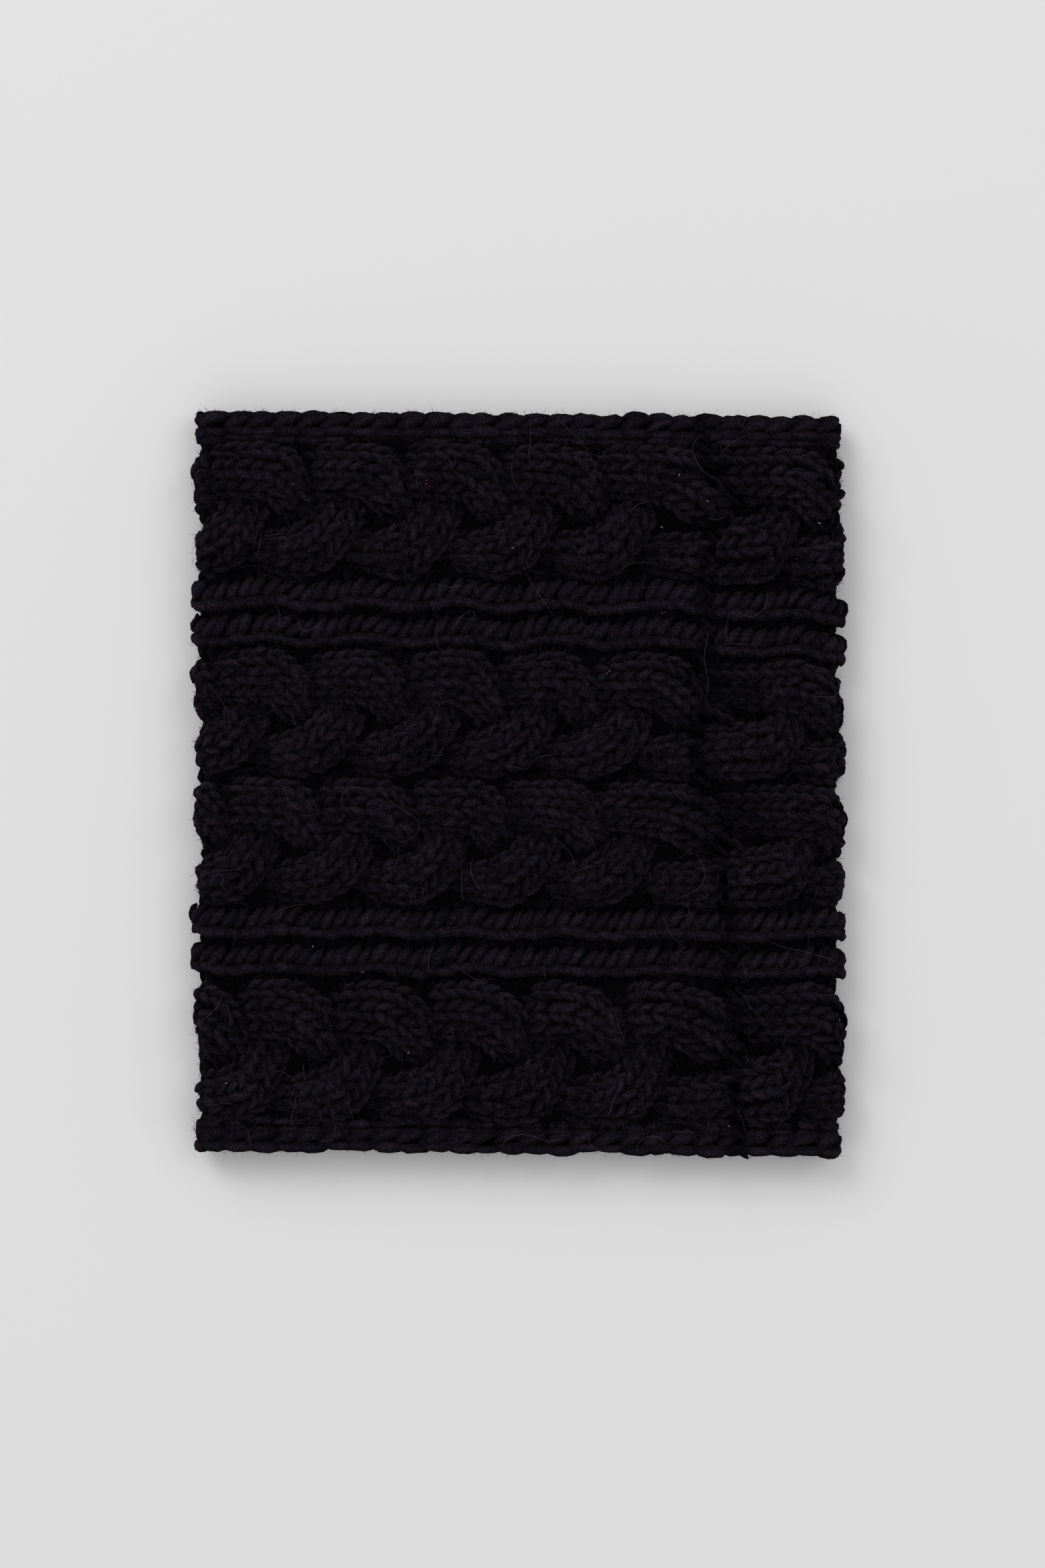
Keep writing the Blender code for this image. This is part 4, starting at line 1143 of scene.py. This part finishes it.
def loose_wool(name, colour):
    """Single wool fibres: no yarn round them, so they are one plain colour and catch the light whole."""
    material, tree, shader = new_material(name, roughness=0.8, specular=0.2)
    light = add(tree, "ShaderNodeAttribute", attribute_name="light")
    links = {0: linear(colour)[:3], "Scale": light.outputs["Fac"]}
    shaded = add(tree, "ShaderNodeVectorMath", links, operation="SCALE")
    tree.links.new(shaded.outputs["Vector"], shader.inputs["Base Color"])
    return material


def painted_shade_wool():
    """The same wool deep between the stitches, with painted shade: coloured nearly black for the shade there,
    and quite matt.
    """
    material, tree, shader = new_material("shaded_wool_ground", roughness=1.0, specular=0.05)
    space = add(tree, "ShaderNodeTexCoord").outputs["Object"]
    grain = noise(tree, space, DEEP_GRAINS, 3.0)
    shade = add(tree, "ShaderNodeValToRGB", {"Fac": grain})
    shade.color_ramp.elements[0].color = linear("#010102")
    shade.color_ramp.elements[1].color = linear("#040305")
    tree.links.new(shade.outputs["Color"], shader.inputs["Base Color"])
    return material


# Studio.

PHOTO_WIDTH, PHOTO_HEIGHT = 1568, 2352
OUTLINE_LEFT, OUTLINE_RIGHT = 282, 1273  # the garment's outline in the picture, in its pixels
OUTLINE_TOP, OUTLINE_BOTTOM = 612, 1737
LENS, SENSOR = 85.0, 36.0
SURROUND = 0.63  # strength of the even light from all round
# Each softbox: its place and size in metres, and its power in watts.
SOFTBOXES = {
    "softbox_left": ((-2.4, 2.85, 2.85), 2.4, 84.0),
    "softbox_right": ((3.0, 1.4, 3.6), 2.7, 30.0),
}


def camera():
    """Straight above, so that the outline falls where the picture has it."""
    mm_per_pixel = FLAT_WIDTH / (OUTLINE_RIGHT - OUTLINE_LEFT)
    right = (PHOTO_WIDTH - OUTLINE_LEFT - OUTLINE_RIGHT) / 2 * mm_per_pixel
    up = (OUTLINE_TOP + OUTLINE_BOTTOM - PHOTO_HEIGHT) / 2 * mm_per_pixel
    distance = PHOTO_HEIGHT * mm_per_pixel * LENS / SENSOR
    data = bpy.data.cameras.new("camera")
    data.lens, data.sensor_width = LENS, SENSOR
    obj = placed("camera", data)
    obj.location = np.array([right, up, distance + FOLD_MIDDLE]) * METRES_PER_MM
    bpy.context.scene.camera = obj


def area_light(name, place, size, power):
    data = bpy.data.lights.new(name, "AREA")
    data.energy, data.size = power, size
    obj = placed(name, data)
    obj.location = place
    obj.rotation_euler = (-obj.location).to_track_quat("-Z", "Y").to_euler()


def studio():
    """Matt paper, nearly white: the eye gets a plain surround that shows the outline and a soft shadow."""
    bm = bmesh.new()
    bmesh.ops.create_grid(bm, x_segments=1, y_segments=1, size=3.0)
    mesh = bpy.data.meshes.new("floor")
    bm.to_mesh(mesh)
    bm.free()
    floor = placed("floor", mesh)
    material, _, shader = new_material("pale_backdrop_paper", roughness=0.9, specular=0.1)
    shader.inputs["Base Color"].default_value = linear("#E6E6E6")
    mesh.materials.append(material)
    world = bpy.data.worlds.new("studio")
    bpy.context.scene.world = world
    world.use_nodes = True
    world.node_tree.nodes["Background"].inputs["Color"].default_value = (1.0, 1.0, 1.0, 1.0)
    world.node_tree.nodes["Background"].inputs["Strength"].default_value = SURROUND
    for name, softbox in SOFTBOXES.items():
        area_light(name, *softbox)
    bpy.context.scene.view_settings.view_transform = "Standard"
    return floor


def main():
    camera()
    floor = studio()
    wool = brushed_wool("brushed_wool_yarn", ("#14131B", "#1A161E", "#211820"))
    # The same wool, paler, because its thin fibres stand up in the light.
    nap_wool = brushed_wool("wool_nap", ("#2B2933", "#322D38", "#3C2D39"))
    chains = [
        chain_piece("chain_top", STRIPE_PLACES[0], "top chain"),
        chain_piece("chain_bottom", STRIPE_PLACES[-1], "bottom chain"),
    ]
    braids = [braid_piece(f"braid_{k + 1}", braid) for k, braid in enumerate(BRAIDS)]
    rib_stripes = [stripe for stripe in STRIPE_PLACES if stripe["kind"] == "rib"]
    ribs = [rib_piece("ribs_upper", rib_stripes[:2]), rib_piece("ribs_lower", rib_stripes[2:])]
    pieces = [*chains, *braids, *ribs, purl_piece("purl_columns")]
    for piece in pieces:
        piece.data.materials.append(wool)
    nap = [
        nap_piece("nap_upper", [chains[0], *braids[:2], ribs[0]], NAP_COUNT),
        nap_piece("nap_lower", [chains[1], *braids[2:], ribs[1]], NAP_COUNT),
    ]
    for piece in nap:
        piece.data.materials.append(nap_wool)
    pieces += nap
    seam = seam_piece("seam_yarn")
    seam.data.materials.append(wool)
    hairs = hair_piece("loose_hairs")
    hairs.data.materials.append(loose_wool("pale_wool_hair", "#4E4955"))
    neps = lump_piece("dyed_neps", DYED_NEPS)
    neps.data.materials.append(loose_wool("dyed_wool_nep", "#7C2B52"))
    lint = lump_piece("pale_lint", PALE_LINT)
    lint.data.materials.append(loose_wool("pale_lint", "#7C7980"))
    pieces += [seam, hairs, neps, lint]
    for piece in pieces:
        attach(piece, "root")
    ground = ground_piece("strip_ground")
    ground.data.materials.append(painted_shade_wool())
    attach(ground, "root")
    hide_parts("knitted_strip")


main()
